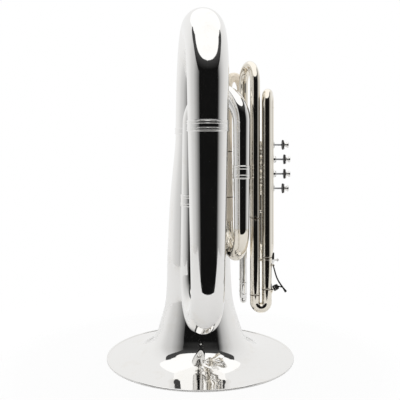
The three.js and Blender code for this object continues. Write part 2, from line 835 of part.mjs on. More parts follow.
// Where the water key's nipple stands on the right tube's crook, which way it points, and the key's pivot.
const nippleHeading = at(Math.cos(keyTilt), 0, Math.sin(keyTilt));
const keyFoot = at(rightTubeX, loopY, keyHeight);
const corkStart = (loopRadius + seatGap + corkRadius * Math.sin(keyTilt)) / Math.cos(keyTilt);
const keyPivot = at(rightTubeX + loopRadius + keyPivotReach, loopY, keyPivotHeight);

function makeFourthValveCrook() {
  const low = loopCrookLow + loopRadius;
  const corners = [
    at(leftTubeX, loopY, leftSleeveEnd + loopInsert), ...halfTurn(leftTube, rightTube, low),
    at(rightTubeX, loopY, rightSleeveEnd + loopInsert),
  ];
  const bend = halfGap(leftTube, rightTube);
  const body = crook(corners, bend, loopRadius, loopInsert, loopInsert, alongX);
  const inset = loopRadius - tubeWall;
  const surfaceThere = Math.sqrt(loopRadius ** 2 - keyPostSpread ** 2) * Math.cos(Math.PI / smallSides);
  const postStart = surfaceThere - tubeWall;
  const postEnd = loopRadius + keyPivotReach + keyHubRadius;
  const postX = rightTubeX + (postStart + postEnd) / 2;
  const posts = [];
  for (const hand of [-1, 1]) {
    const postY = loopY + hand * (keyPostSpread - keyPostHalf / 2);
    posts.push(box(postEnd - postStart, keyPostHalf, keyPostHalf * 2, at(postX, postY, keyPivotHeight)));
  }
  const pinHole = rod(keyPivot.clone().add(at(0, -keyPostSpread * 2, 0)), alongY, keyPostSpread * 4,
    around(keyPinRadius + slideFit, smallSides), alongX, smallSides);
  const nippleStart = keyFoot.clone().addScaledVector(nippleHeading, inset);
  const nipple = rod(nippleStart, nippleHeading, corkStart - inset - seatGap, nippleRadius,
    alongY, smallSides);
  const nippleBore = rod(keyFoot, nippleHeading, corkStart + cutOverrun, nippleRadius - tubeWall,
    alongY, smallSides);
  const rung = rod(at(leftTubeX + inset, loopY, crookStayHeight), alongX,
    rightTubeX - leftTubeX - 2 * inset, stayRadius, up, smallSides);
  piece("fourth_valve_crook", joined([body, ...posts, nipple, rung], [pinHole, nippleBore]), silver());
}

// The water key: a curved arm on a pin between two posts, with a cork pad that closes the nipple.
const corkFoot = keyFoot.clone().addScaledVector(nippleHeading, corkStart);
const corkHead = corkFoot.clone().addScaledVector(nippleHeading, corkLength);

function makeWaterKey() {
  const cork = rod(corkFoot, nippleHeading, corkLength, corkRadius, alongY, smallSides);
  piece("water_key_cork", cork, blackened());

  const tip = keyPivot.clone().add(at(keyArmReach, 0, -keyArmDrop));
  const elbow = keyPivot.clone().lerp(tip, 1 / 2).sub(at(keyArmBulge, 0, keyArmBulge / 2));
  const middle = new THREE.CatmullRomCurve3([keyPivot, elbow, tip]);
  const rings = [];
  for (let i = 0; i <= bendSteps; i += 1) {
    const centre = middle.getPointAt(i / bendSteps);
    const heading = middle.getTangentAt(i / bendSteps);
    const out = heading.clone().cross(alongY);
    const corner = (face, hand) =>
      centre.clone()
        .addScaledVector(out, (face * keyArmThickness) / 2)
        .addScaledVector(alongY, (hand * keyArmWidth) / 2);
    rings.push([corner(-1, 1), corner(1, 1), corner(1, -1), corner(-1, -1)]);
  }
  const arm = loft([[middle.getPointAt(0)], ...rings, [middle.getPointAt(1)]], false);
  const seatPoint = corkHead.clone().addScaledVector(nippleHeading, seatGap);
  const pad = rod(seatPoint, nippleHeading, keyArmThickness, corkRadius, alongY, smallSides);
  const linkEnd = middle.getPoint(linkShare);
  const linkStart = seatPoint.clone().addScaledVector(nippleHeading, keyArmThickness - keyPinRadius / 2);
  const linkHeading = linkEnd.clone().sub(linkStart).normalize();
  const link = rod(linkStart, linkHeading, linkStart.distanceTo(linkEnd), keyPinRadius, alongY, smallSides);
  const hub = rod(keyPivot.clone().add(at(0, -keyPostSpread + keyPostHalf + seatGap, 0)), alongY,
    2 * (keyPostSpread - keyPostHalf - seatGap), keyHubRadius, alongX, smallSides);
  const pin = rod(keyPivot.clone().add(at(0, -keyPostSpread - keyPinRadius, 0)), alongY,
    2 * (keyPostSpread + keyPinRadius), keyPinRadius, alongX, smallSides);
  piece("water_key_lever", joined([arm, pad, link, hub, pin]), blackened());
}

// The first valve's slide, below the valves, and the slides of the second and third, behind them.
function makeFirstSlide() {
  const bore = () => valveTubeRadius - tubeWall;
  const wall = () => valveTubeRadius;
  const valve = valvePlace(0);
  const front = at(firstSlideX, valveY, firstSleeveEnd);
  const rear = at(firstSlideX, firstSlideY, firstSleeveEnd);
  const frontTop = at(firstSlideX, valveY, valve.z - portReach);
  const frontTube = tube(route([frontTop, front], []), wall, bore, alongX, smallSides);
  const corner = at(firstSlideX, firstSlideY, valve.z);
  const port = at(firstSlideX, valveY + portReach, valve.z);
  const rearTube = tube(route([port, corner, rear], [firstElbow]), wall, bore, alongX, smallSides);
  const inset = valveTubeRadius - tubeWall / 2;
  const brace = rod(at(firstSlideX, valveY + inset, firstSleeveEnd + slideStayDrop), alongY,
    firstSlideY - valveY - 2 * inset, stayRadius, up, smallSides);
  piece("first_slide_sleeves", joined([frontTube, rearTube, brace]), silver());

  const bend = halfGap(front, rear);
  const top = firstSleeveEnd + firstInsert;
  const corners = [
    at(front.x, front.y, top), ...halfTurn(front, rear, firstCrookLow + valveTubeRadius),
    at(rear.x, rear.y, top),
  ];
  const geometry = crook(corners, bend, valveTubeRadius, firstInsert, firstInsert, alongX);
  piece("first_slide_crook", geometry, silver());
}

function makeSideSlide(name, count, spacing, sleeveEnd, crookEnd, insert) {
  const bore = () => valveTubeRadius - tubeWall;
  const wall = () => valveTubeRadius;
  const valve = valvePlace(count);
  const feet = [];
  const tubes = [];
  for (const x of [sideSlideX, sideSlideX + spacing]) {
    const foot = at(x, valveY + portReach, valve.z);
    feet.push(foot);
    tubes.push(tube(route([foot, at(x, sleeveEnd, valve.z)], []), wall, bore, up, smallSides));
  }
  const inset = valveTubeRadius - tubeWall / 2;
  const brace = rod(at(sideSlideX + inset, sleeveEnd - slideStayDrop, valve.z), alongX, spacing - 2 * inset,
    stayRadius, up, smallSides);
  piece(`${name}_sleeves`, joined([...tubes, brace]), silver());
  const bend = spacing / 2;
  const farEnd = crookEnd - valveTubeRadius;
  const start = sleeveEnd - insert;
  const corners = [
    at(sideSlideX, start, valve.z), at(sideSlideX, farEnd, valve.z),
    at(sideSlideX + spacing, farEnd, valve.z), at(sideSlideX + spacing, start, valve.z),
  ];
  piece(`${name}_crook`, crook(corners, bend, valveTubeRadius, insert, insert, up), silver());
}

// The leadpipe, and the receiver on its open end.
function makeLeadpipe() {
  const valve = valvePlace(0);
  const mouth = at(receiverX + receiverGrip, leadpipeY, valve.z);
  const corner = at(leadpipeX, leadpipeY, valve.z);
  const port = at(leadpipeX, valveY + portReach, valve.z);
  const runs = route([mouth, corner, port], [leadpipeBend]);
  const pipe = taperedTube(runs, leadpipeMouthRadius, leadpipeRadius, tubeWall, up, smallSides);
  piece("leadpipe", pipe, silver());

  const heading = corner.clone().sub(mouth).normalize();
  const start = mouth.clone().addScaledVector(heading, receiverGrip - receiverLength);
  const reach = receiverLength - receiverGrip;
  const sleeve = around(leadpipeMouthRadius + receiverEase + seatGap, smallSides);
  piece("mouthpiece_receiver", turned(straight(start, heading, receiverLength), [
    [0, receiverMouthRadius], [0, receiverRadius + ferruleBead], [beadWidth, receiverRadius + ferruleBead],
    [beadWidth, receiverRadius], [reach, receiverRadius], [receiverLength, receiverRadius],
    [receiverLength, sleeve], [reach - seatGap, sleeve], [reach - seatGap, leadpipeMouthRadius - tubeWall],
  ], up, smallSides), silver());
}

// The lyre socket on the side of the back tube's bow, and its thumb screw.
function makeLyreSocket() {
  const back = at(loopBackX, loopBackY, 0);
  const home = at(loopReturnX, loopReturnY, 0);
  const bend = halfGap(back, home);
  const middleHeight = socketHeight + socketTall / 4;
  const bowCentre = loopBackLow + loopRadius + bend;
  const drop = Math.min(bowCentre - middleHeight, bend);
  const across = home.clone().sub(back).normalize();
  const seat = back.clone().addScaledVector(across, bend - Math.sqrt(bend ** 2 - drop ** 2));

  // The socket's near corner stands just off the tube's side, which draws in as the bow goes back.
  const side = at(across.y, -across.x, 0).multiplyScalar(loopRadius);
  const nearShare = (seat.y - socketDepth / 2 - side.y - back.y) / (home.y - back.y);
  const near = back.clone().lerp(home, nearShare).add(side);
  const centre = at(near.x + seatGap + socketWidth / 2, seat.y, middleHeight);
  const body = box(socketWidth, socketDepth, socketTall, centre);
  const slot = box(socketSlot, socketSlot, socketTall + 2 * cutOverrun, centre);
  const screwHole = rod(at(centre.x, seat.y, socketHeight), alongX, socketWidth,
    around(screwRadius + slideFit, smallSides), up, smallSides);
  piece("lyre_socket", joined([body], [slot, screwHole]), silver());

  const screwStart = at(centre.x + socketSlot / 2, seat.y, socketHeight);
  const shaft = socketWidth / 2 - socketSlot / 2 + screwLength;
  piece("thumb_screw", turned(straight(screwStart, alongX, shaft + screwKnobThickness), [
    [0, 0], [0, screwRadius], [shaft, screwRadius], [shaft, screwKnobRadius],
    [shaft + screwKnobThickness, screwKnobRadius], [shaft + screwKnobThickness, 0],
  ], up, smallSides), silver());
}

// A stay between two tubes, square to the first, that ends on each tube's surface.
function stayBetween(name, from, fromRadius, to, toRadius, material) {
  const heading = to.clone().sub(from).normalize();
  const start = from.clone().addScaledVector(heading, fromRadius + seatGap);
  const end = to.clone().addScaledVector(heading, -toRadius - seatGap);
  piece(name, stay(start, end), material);
}

function makeStays() {
  const bellStayHeight = bellStayShare * bellHeight;
  const bellAt = at(-throatLean * bellStayShare, 0, bellStayHeight);
  const branchAt = at(middleBranchX, middleBranchY, bellStayHeight);
  const outline = [...bellOutlineShares, [1, throatRadius / bellRadius]];
  const next = outline.findIndex(([share]) => share > bellStayShare);
  const [lowShare, lowRadiusShare] = outline[next - 1];
  const [highShare, highRadiusShare] = outline[next];
  const radiusThere = bellRadius * THREE.MathUtils.mapLinear(bellStayShare, lowShare, highShare,
    lowRadiusShare, highRadiusShare);
  const branchRadius = middleRadiusAt(bellStayHeight);
  stayBetween("bell_stay", bellAt, radiusThere + bellWall, branchAt, branchRadius, silver());

  const third = at(thirdBranchX, thirdBranchY, thirdBranchFoot);
  const fourth = at(fourthBranchX, fourthBranchY, thirdBranchFoot);
  const bowLow = thirdBranchFoot - halfGap(third, fourth);
  const middleAt = at(middleBranchX, middleBranchY, bowLow);
  const bowAt = third.clone().lerp(fourth, 1 / 2).setZ(bowLow);
  const bowHeading = fourth.clone().sub(third).normalize();
  const slant = Math.abs(bowAt.clone().sub(middleAt).normalize().dot(bowHeading));
  const bowRadius = (thirdBranchFootRadius + fourthBranchFootRadius) / 2;
  const bowReach = (bowRadius + saddleRadius * slant) / Math.sqrt(1 - slant ** 2);
  stayBetween("small_bow_stay", middleAt, middleRadiusAt(bowLow), bowAt, bowReach, blackened());

  const loopStayLength = rightTubeX - leftTubeX - 2 * (loopRadius + seatGap);
  piece("loop_stay", rod(at(leftTubeX + loopRadius + seatGap, loopY, loopStayHeight), alongX, loopStayLength,
    stayRadius, up, smallSides), silver());
}

makeBell();
makeBottomBow();
makeOuterBranch();
makeTopBow();
makeMiddleBranch();
makeSecondBow();
makeThirdBranch();
makeSmallBow();
makeFourthBranch();
makeTuningSlide();
makeValveBlock();
for (let i = 0; i < valveCount; i += 1) {
  makeValve(i);
}
makeFourthValveTubing();
makeFourthValveCrook();
makeWaterKey();
makeFirstSlide();
makeSideSlide("second_slide", 1, secondSlideSpacing, secondSleeveEnd, secondCrookEnd, secondInsert);
makeSideSlide("third_slide", 2, thirdSlideSpacing, thirdSleeveEnd, thirdCrookEnd, thirdInsert);
makeLeadpipe();
makeLyreSocket();
makeStays();

const footprint = new THREE.Box3().setFromObject(tuba).getCenter(new THREE.Vector3());
tuba.position.set(-footprint.x, -footprint.y, 0);

export default tuba;
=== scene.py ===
import math
import bpy
import bmesh
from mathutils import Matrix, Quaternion, Vector


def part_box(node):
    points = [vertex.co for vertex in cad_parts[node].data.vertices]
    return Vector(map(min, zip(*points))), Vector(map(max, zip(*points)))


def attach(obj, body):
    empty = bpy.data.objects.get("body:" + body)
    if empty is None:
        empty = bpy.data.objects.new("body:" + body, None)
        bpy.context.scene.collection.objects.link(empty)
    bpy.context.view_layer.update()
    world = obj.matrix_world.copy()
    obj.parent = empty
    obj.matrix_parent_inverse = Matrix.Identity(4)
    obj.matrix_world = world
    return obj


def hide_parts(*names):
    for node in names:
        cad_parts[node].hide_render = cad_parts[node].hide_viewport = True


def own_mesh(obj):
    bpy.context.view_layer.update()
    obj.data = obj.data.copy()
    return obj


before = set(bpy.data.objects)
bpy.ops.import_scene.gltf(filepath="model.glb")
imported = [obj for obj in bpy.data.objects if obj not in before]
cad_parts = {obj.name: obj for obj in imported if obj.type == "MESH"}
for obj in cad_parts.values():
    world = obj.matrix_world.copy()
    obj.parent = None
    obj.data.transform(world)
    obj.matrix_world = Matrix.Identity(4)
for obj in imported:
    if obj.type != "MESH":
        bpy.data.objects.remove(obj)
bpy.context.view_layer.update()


# The bell: brass sheet spun over a mandrel to a wide flare, with a wire rolled into its rim, then silver
# plated and polished to a mirror. It carries the whole instrument here, and the bottom bow is soldered on
# its throat.
bell_low, bell_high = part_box("bell")
bell_middle = (Vector(bell_low) + Vector(bell_high)) / 2


def spot(x, y, z):
    """A point of the drawing, in millimetres from the middle of the bell's rim, in the frame's metres."""
    return Vector((bell_middle.x + x / 1000, bell_middle.y + y / 1000, z / 1000))


def linear(code):
    """The linear colour of an sRGB hex value."""
    shares = [int(code[i:i + 2], 16) / 255 for i in (0, 2, 4)]
    return (*[s / 12.92 if s <= 0.04045 else ((s + 0.055) / 1.055) ** 2.4 for s in shares], 1)


def add(tree, kind, settings=()):
    """Adds one node. A setting, by its socket's name or number, is a value or the socket that feeds it."""
    node = tree.nodes.new(kind)
    for key, value in dict(settings).items():
        if isinstance(value, bpy.types.NodeSocket):
            tree.links.new(value, node.inputs[key])
        elif isinstance(key, int) or key in node.inputs:
            node.inputs[key].default_value = value
        else:
            setattr(node, key, value)
    return node


def started(name):
    """A new material, and its empty tree."""
    finish = bpy.data.materials.new(name)
    finish.use_nodes = True
    finish.node_tree.nodes.clear()
    return finish, finish.node_tree


def patches(tree, size, detail=2.0, rough=0.5):
    """Noise in the piece's own coordinates, with patches of about size millimetres."""
    place = add(tree, "ShaderNodeTexCoord").outputs["Object"]
    return add(tree, "ShaderNodeTexNoise", {
        "Scale": 1000 / size, "Detail": detail, "Roughness": rough, "Vector": place}).outputs["Fac"]


def ranged(tree, value, low, high, first=0.0, last=1.0):
    """A value carried over from one range to another, and held at the ends."""
    return add(tree, "ShaderNodeMapRange", {
        "From Min": low, "From Max": high, "To Min": first, "To Max": last, "Value": value}).outputs["Result"]


def blended(tree, share, first, last):
    """The first colour with a share of the last, both as sRGB hex values."""
    return add(tree, "ShaderNodeMix", {
        "data_type": "RGBA", 0: share, 6: linear(first), 7: linear(last)}).outputs[2]


def relief(tree, height, strength, depth, over=None):
    """The slopes of a relief that is depth millimetres deep, laid over another one where that is given."""
    bump = add(tree, "ShaderNodeBump", {"Strength": strength, "Distance": depth / 1000, "Height": height})
    if over is not None:
        tree.links.new(over, bump.inputs["Normal"])
    return bump.outputs["Normal"]


def surfaced(finish, settings):
    """The material, once its surface has the settings."""
    shader = add(finish.node_tree, "ShaderNodeBsdfPrincipled", settings)
    add(finish.node_tree, "ShaderNodeOutputMaterial", {"Surface": shader.outputs["BSDF"]})
    return finish


def plated(name, colour, tarnish, gloss=0.03, haze=0.03, film=0.0):
    """Silver plate over brass, buffed with rouge: a mirror with faint cloudy wiping marks 40 mm across, a
    little warm tarnish where the cloth doesn't reach, and hairlines about 1 mm apart, drawn coarser so that
    they show. The film is the share of a thin dull coat over the metal."""
    finish, tree = started(name)
    cloud = patches(tree, 40, 3.0, 0.6)
    stain = ranged(tree, cloud, 0.55, 0.8, 0.0, 0.3)
    hairlines = relief(tree, patches(tree, 1.2), 0.02, 0.2)
    return surfaced(finish, {
        "Metallic": 1 - film, "Base Color": blended(tree, stain, colour, tarnish),
        "Roughness": ranged(tree, cloud, 0.35, 0.7, gloss, gloss + haze),
        "Normal": relief(tree, cloud, 0.05, 0.8, hairlines)})


silver = plated("polished silver plate", "F6F5F3", "EAE3D6")
toned_silver = plated("silver plate with a breath of tarnish", "F4EEE2", "E4D6BC")


def rule(name, *asked):
    """Starts a Geometry Nodes rule: its tree, and the sockets that carry what each use of it asks for."""
    tree = bpy.data.node_groups.new(name, "GeometryNodeTree")
    for label, kind in (("Geometry", "Geometry"), *asked, ("Finish", "Material")):
        tree.interface.new_socket(label, in_out="INPUT", socket_type="NodeSocket" + kind)
    tree.interface.new_socket("Geometry", in_out="OUTPUT", socket_type="NodeSocketGeometry")
    return tree, add(tree, "NodeGroupInput").outputs


def ended(tree, told, shape):
    """Ends a rule: its shape made real, in the finish that it is told."""
    real = add(tree, "GeometryNodeRealizeInstances", {"Geometry": shape})
    coated = add(tree, "GeometryNodeSetMaterial", {"Geometry": real.outputs[0], "Material": told["Finish"]})
    add(tree, "NodeGroupOutput", {"Geometry": coated.outputs["Geometry"]})


def linked(name, data):
    """A new object in the scene."""
    thing = bpy.data.objects.new(name, data)
    bpy.context.scene.collection.objects.link(thing)
    return thing


def ruled(name, mesh, tree, told):
    """An object whose shape follows a rule."""
    source = linked(name, mesh)
    use = source.modifiers.new(tree.name, "NODES")
    use.node_group = tree
    for item in tree.interface.items_tree:
        if item.in_out == "INPUT" and item.name in told:
            use[item.identifier] = told[item.name]
    return source


# Tubes and the bell follow one rule: a ring of the width written on each point of a line, carried along it.
drawn, told = rule("drawn tube", ("Facets round", "Int"), ("Lean", "Float"), ("Closed ends", "Bool"))
line = add(drawn, "GeometryNodeMeshToCurve", {"Mesh": told["Geometry"]})
ring = add(drawn, "GeometryNodeCurvePrimitiveCircle", {"Radius": 1.0, "Resolution": told["Facets round"]})
width = add(drawn, "GeometryNodeInputNamedAttribute", {"Name": "half_width"})
skin = add(drawn, "GeometryNodeCurveToMesh", {
    "Curve": line.outputs["Curve"], "Profile Curve": ring.outputs["Curve"],
    "Scale": width.outputs["Attribute"], "Fill Caps": told["Closed ends"]})
height = add(drawn, "ShaderNodeSeparateXYZ", {0: add(drawn, "GeometryNodeInputPosition").outputs[0]})
aside = add(drawn, "ShaderNodeMath", {"operation": "MULTIPLY", 0: height.outputs["Z"], 1: told["Lean"]})
shift = add(drawn, "ShaderNodeCombineXYZ", {"X": aside.outputs[0]})
leaned = add(drawn, "GeometryNodeSetPosition", {"Geometry": skin.outputs["Mesh"], "Offset": shift.outputs[0]})
ended(drawn, told, leaned.outputs["Geometry"])

sharp_edge = math.radians(32)


def placed(name, mesh):
    """A piece of the mesh, smooth but for its sharp edges."""
    mesh.polygons.foreach_set("use_smooth", [True] * len(mesh.polygons))
    mesh.set_sharp_from_angle(angle=sharp_edge)
    return linked(name, mesh)


def plain(name, source):
    """What the source's modifiers make of it, as a plain mesh object; the source goes."""
    bpy.context.view_layer.update()
    shape = source.evaluated_get(bpy.context.evaluated_depsgraph_get())
    mesh = bpy.data.meshes.new_from_object(shape)
    mesh.name = name
    bpy.data.objects.remove(source)
    return placed(name, mesh)


def tube(name, points, widths, finish, wall=0.0, facets=48, loop=False, lean=0.0, closed=False):
    """A tube along points (mm in the drawing) with a half width (mm) at each, and a wall inside it (mm)."""
    mesh = bpy.data.meshes.new(name)
    edges = [(i, i + 1) for i in range(len(points) - 1)]
    if loop:
        edges.append((len(points) - 1, 0))
    mesh.from_pydata([spot(*point) for point in points], edges, [])
    share = mesh.attributes.new("half_width", "FLOAT", "POINT")
    share.data.foreach_set("value", [w / 1000 for w in widths])
    source = ruled(name, mesh, drawn, {
        "Facets round": facets, "Lean": lean, "Closed ends": closed, "Finish": finish})
    if wall:
        sheet = source.modifiers.new("wall", "SOLIDIFY")
        sheet.thickness = wall / 1000
        sheet.offset = -1
    return plain(name, source)


def joined(name, parts):
    """One piece from several that are soldered together, each with its own finish."""
    gathered = bmesh.new()
    finishes = []
    for part in parts:
        finish = part.data.materials[0]
        if finish not in finishes:
            finishes.append(finish)
        part.data.polygons.foreach_set("material_index", [finishes.index(finish)] * len(part.data.polygons))
        gathered.from_mesh(part.data)
        bpy.data.objects.remove(part)
    mesh = bpy.data.meshes.new(name)
    gathered.to_mesh(mesh)
    gathered.free()
    for finish in finishes:
        mesh.materials.append(finish)
    return placed(name, mesh)


def fitted(piece, body, slot, *nodes):
    """The piece rides on its body and stands for its solids; its slot is not used."""
    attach(piece, body)
    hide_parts(*nodes)
    return piece


def eased_line(points, steps=10):
    """A smooth line through the points, with the same number of steps between each two."""
    ends = [2 * points[0] - points[1], *points, 2 * points[-1] - points[-2]]
    found = []
    for i in range(1, len(ends) - 2):
        p0, p1, p2, p3 = ends[i - 1:i + 3]
        t1 = (p1 - p0).length ** 0.5
        t2 = t1 + (p2 - p1).length ** 0.5
        t3 = t2 + (p3 - p2).length ** 0.5
        for k in range(steps):
            t = t1 + (t2 - t1) * k / steps
            a1 = p0 * ((t1 - t) / t1) + p1 * (t / t1)
            a2 = p1 * ((t2 - t) / (t2 - t1)) + p2 * ((t - t1) / (t2 - t1))
            a3 = p2 * ((t3 - t) / (t3 - t2)) + p3 * ((t - t2) / (t3 - t2))
            b1 = a1 * ((t2 - t) / t2) + a2 * (t / t2)
            b2 = a2 * ((t3 - t) / (t3 - t1)) + a3 * ((t - t1) / (t3 - t1))
            found.append(b1 * ((t2 - t) / (t2 - t1)) + b2 * ((t - t1) / (t2 - t1)))
    found.append(points[-1])
    return found


bell_height, bell_radius = 605, 250
throat_at = (-10, 0)
sheet_wall, rim_wire, bell_facets = 1.2, 2.6, 128
bell_outline = eased_line([Vector((z, r)) for z, r in (
    (2.7, 249.3), (5.4, 225), (9.6, 195), (19.6, 159), (40, 128.8), (66, 114.8), (94, 105.4), (149, 91),
    (284, 83.6), (417, 75), (526, 63), (582, 57.2), (bell_height, 57))])
sheet = tube("bell_sheet", [(0, 0, z) for z, r in bell_outline], [r for z, r in bell_outline], silver,
             wall=sheet_wall, facets=bell_facets, lean=throat_at[0] / bell_height)
rim_reach = bell_radius - rim_wire
rim = [(math.cos(a) * rim_reach, math.sin(a) * rim_reach, rim_wire)
       for a in [2 * math.pi * i / bell_facets for i in range(bell_facets)]]
wire = tube("bell_wire", rim, [rim_wire] * len(rim), silver, facets=16, loop=True)
fitted(joined("bell_flare", [sheet, wire]), "body", "silver_plate", "bell")


# The ferrules: short sleeves of the same brass, turned with two fine beads near each end, slid over a joint
# of two tubes and soldered there. The bell's has one bead at each end.
up = (0, 0, 1)
on_axis = 1e-6


def skinned(shape, rings, facets, looped):
    """Faces from each ring of corners to the next. A ring of one corner is a tip."""
    for i in range(len(rings) if looped else len(rings) - 1):
        here, there = rings[i], rings[(i + 1) % len(rings)]
        for k in range(facets):
            corners = [here[k % len(here)], here[(k + 1) % len(here)], there[(k + 1) % len(there)],
                       there[k % len(there)]]
            face = list(dict.fromkeys(corners))
            if len(face) > 2:
                shape.faces.new(face)


def cast(name, shape, finish):
    """A piece from a shape that is ready, with all its faces turned outwards."""
    bmesh.ops.recalc_face_normals(shape, faces=shape.faces)
    mesh = bpy.data.meshes.new(name)
    shape.to_mesh(mesh)
    shape.free()
    mesh.materials.append(finish)
    return placed(name, mesh)


def turned(name, foot, heading, outline, finish, facets=64):
    """A lathe piece: its outline as (distance, radius) in millimetres from the foot along the heading. It is
    closed, unless it starts and ends on the axis."""
    axis = Vector(heading).normalized()
    side = axis.orthogonal().normalized()
    across = axis.cross(side)
    shape = bmesh.new()
    rings = []
    for distance, radius in outline:
        centre = Vector(foot) + axis * distance
        angles = [2 * math.pi * k / facets for k in range(facets if radius > on_axis else 1)]
        rings.append([shape.verts.new(spot(*(centre + (side * math.cos(a) + across * math.sin(a)) * radius)))
                      for a in angles])
    skinned(shape, rings, facets, looped=outline[0][1] > on_axis)
    return cast(name, shape, finish)


def rounded(outline, ease=0.4):
    """The outline with each corner rounded a little, so that it catches the light."""
    edge_share = 0.4
    closed = outline[0][1] > on_axis
    points = [Vector(p) for p in outline]
    found = [] if closed else [points[0]]
    for i in range(len(points)) if closed else range(1, len(points) - 1):
        before, here, after = points[i - 1], points[i], points[(i + 1) % len(points)]
        start = here + (before - here).normalized() * min(ease, (before - here).length * edge_share)
        end = here + (after - here).normalized() * min(ease, (after - here).length * edge_share)
        found += [start, start.lerp(here, 0.6).lerp(here.lerp(end, 0.4), 0.5), end]
    if not closed:
        found.append(points[-1])
    return found


def ferrule(name, middle, length, first, last, beads):
    """A beaded sleeve, upright over its middle. Its bore runs from the first tube's radius to the last's."""
    play, wall, edge, bead_half, bead_rise = 0.05, 1.1, 0.8, 1.25, 1.5
    bore = lambda d: first + (last - first) * d / length + play
    outline = [(0, bore(0)), (0, bore(0) + wall * 0.6), (edge, bore(0) + wall)]
    for bead in beads:
        centre = length / 2 + bead
        outline += [(centre + bead_half * math.cos(a), bore(centre) + wall + bead_rise * math.sin(a))
                    for a in [math.pi * k / 6 for k in range(6, -1, -1)]]
    outline += [(length - edge, bore(length) + wall), (length, bore(length) + wall * 0.6),
                (length, bore(length))]
    foot = Vector(middle) - Vector(up) * length / 2
    fitted(turned(name + "_sleeve", foot, up, outline, silver, 72), "body", "silver_plate", name)


outer_at, middle_at, third_at = (17, -300), (-16, -130), (97.5, -215)
outer_top = 611
ferrule("bell_ferrule", (*throat_at, bell_height), 17, 57, 57, (-6, 6))
ferrule("outer_branch_ferrule", (*outer_at, outer_top), 26, 45, 45, (-10, -5, 5, 10))
ferrule("middle_branch_ferrule", (*middle_at, 431), 30, 31.5, 31, (-12.5, -7.5, 7.5, 12.5))
ferrule("third_branch_ferrule", (*third_at, 505), 32, 19.5, 19.2, (-13.6, -6.8, 7.8, 14.2))


# The bows and branches: the main bore, drawn from brass tube over tapered mandrels and bent full of pitch,
# growing from the tuning slide to the bell. Each is butted to the next and plated with it.
branch_wall, slide_wall = 1, 0.7
same_place, same_mark = 0.05, 1e-3
bend_facets = 40


def route(corners, bends):
    """The points (mm) of a line through the corners, each rounded by a bend of its own radius."""
    corners = [Vector(corner) for corner in corners]
    found = [corners[0]]
    for i, bend in enumerate(bends, 1):
        before = (corners[i] - corners[i - 1]).normalized()
        after = (corners[i + 1] - corners[i]).normalized()
        angle = before.angle(after)
        axis = before.cross(after).normalized()
        start = corners[i] - before * bend * math.tan(angle / 2)
        centre = start + axis.cross(before) * bend
        steps = max(3, round(bend_facets * angle / math.pi))
        found += [centre + Quaternion(axis, angle * k / steps) @ (start - centre) for k in range(steps + 1)]
    found.append(corners[-1])
    return [point for i, point in enumerate(found) if i == 0 or (point - found[i - 1]).length > same_place]


def travelled(points):
    """How far along the line each of its points lies."""
    gone = [0.0]
    for i in range(1, len(points)):
        gone.append(gone[-1] + (points[i] - points[i - 1]).length)
    return gone


def shaped(points, outline):
    """The line's points with those of the outline added, and the radius at each: the outline is (distance,
    radius) in millimetres, straight between its points."""
    gone = travelled(points)
    marks = sorted({round(g, 4) for g in gone} | {round(d, 4) for d, r in outline if d <= gone[-1]})
    found, radii = [], []
    for mark in marks:
        i = max(1, next((k for k, g in enumerate(gone) if g >= mark - same_mark), len(gone) - 1))
        found.append(points[i - 1].lerp(points[i], (mark - gone[i - 1]) / (gone[i] - gone[i - 1])))
        j = max(1, next((k for k, (d, r) in enumerate(outline) if d >= mark - same_mark), len(outline) - 1))
        (d0, r0), (d1, r1) = outline[j - 1], outline[j]
        radii.append(r0 + (r1 - r0) * min(1, max(0, (mark - d0) / (d1 - d0))))
    return found, radii


def pipe(name, corners, bends, outline, finish, wall=slide_wall, facets=48):
    """A tube through the corners whose radius follows the outline: two numbers for an even taper, and one for
    an even tube."""
    points = route(corners, bends)
    if isinstance(outline, (int, float)):
        outline = (outline, outline)
    if not isinstance(outline[0], tuple):
        outline = [(0, outline[0]), (travelled(points)[-1], outline[1])]
    return tube(name, *shaped(points, outline), finish, wall=wall, facets=facets)


def half_turn(first, last, peak):
    """The corners and the bends of a half turn between two upright tubes, whose centre line peaks there."""
    bend = (Vector(first[:2]) - Vector(last[:2])).length / 2
    return [first, (first[0], first[1], peak), (last[0], last[1], peak), last], [bend, bend]


def bow(first_at, last_at, foot, peak):
    """A half turn whose ends are at one height."""
    return half_turn((*first_at, foot), (*last_at, foot), peak)


def straight(at, first, last):
    """An upright tube between two heights."""
    return [(*at, first), (*at, last)], []


seam_dirt = plated("tarnished solder line", "4A3A28", "241C14", 0.3, 0.2)
warm_silver = plated("warm silver plate", "FBF1E0", "F0DFC2", 0.42, 0.06, 0.6)


def seam(middle, heading, radius, width=1.5):
    """The line of dull solder that shows where two tubes meet, a hair proud of them."""
    rise = 0.3
    outline = [(0, radius - rise), (0, radius + 0.05), (width * 0.3, radius + rise),
               (width * 0.7, radius + rise), (width, radius + 0.05), (width, radius - rise)]
    return turned("seam", Vector(middle) - Vector(heading) * width / 2, heading, outline, seam_dirt, 48)


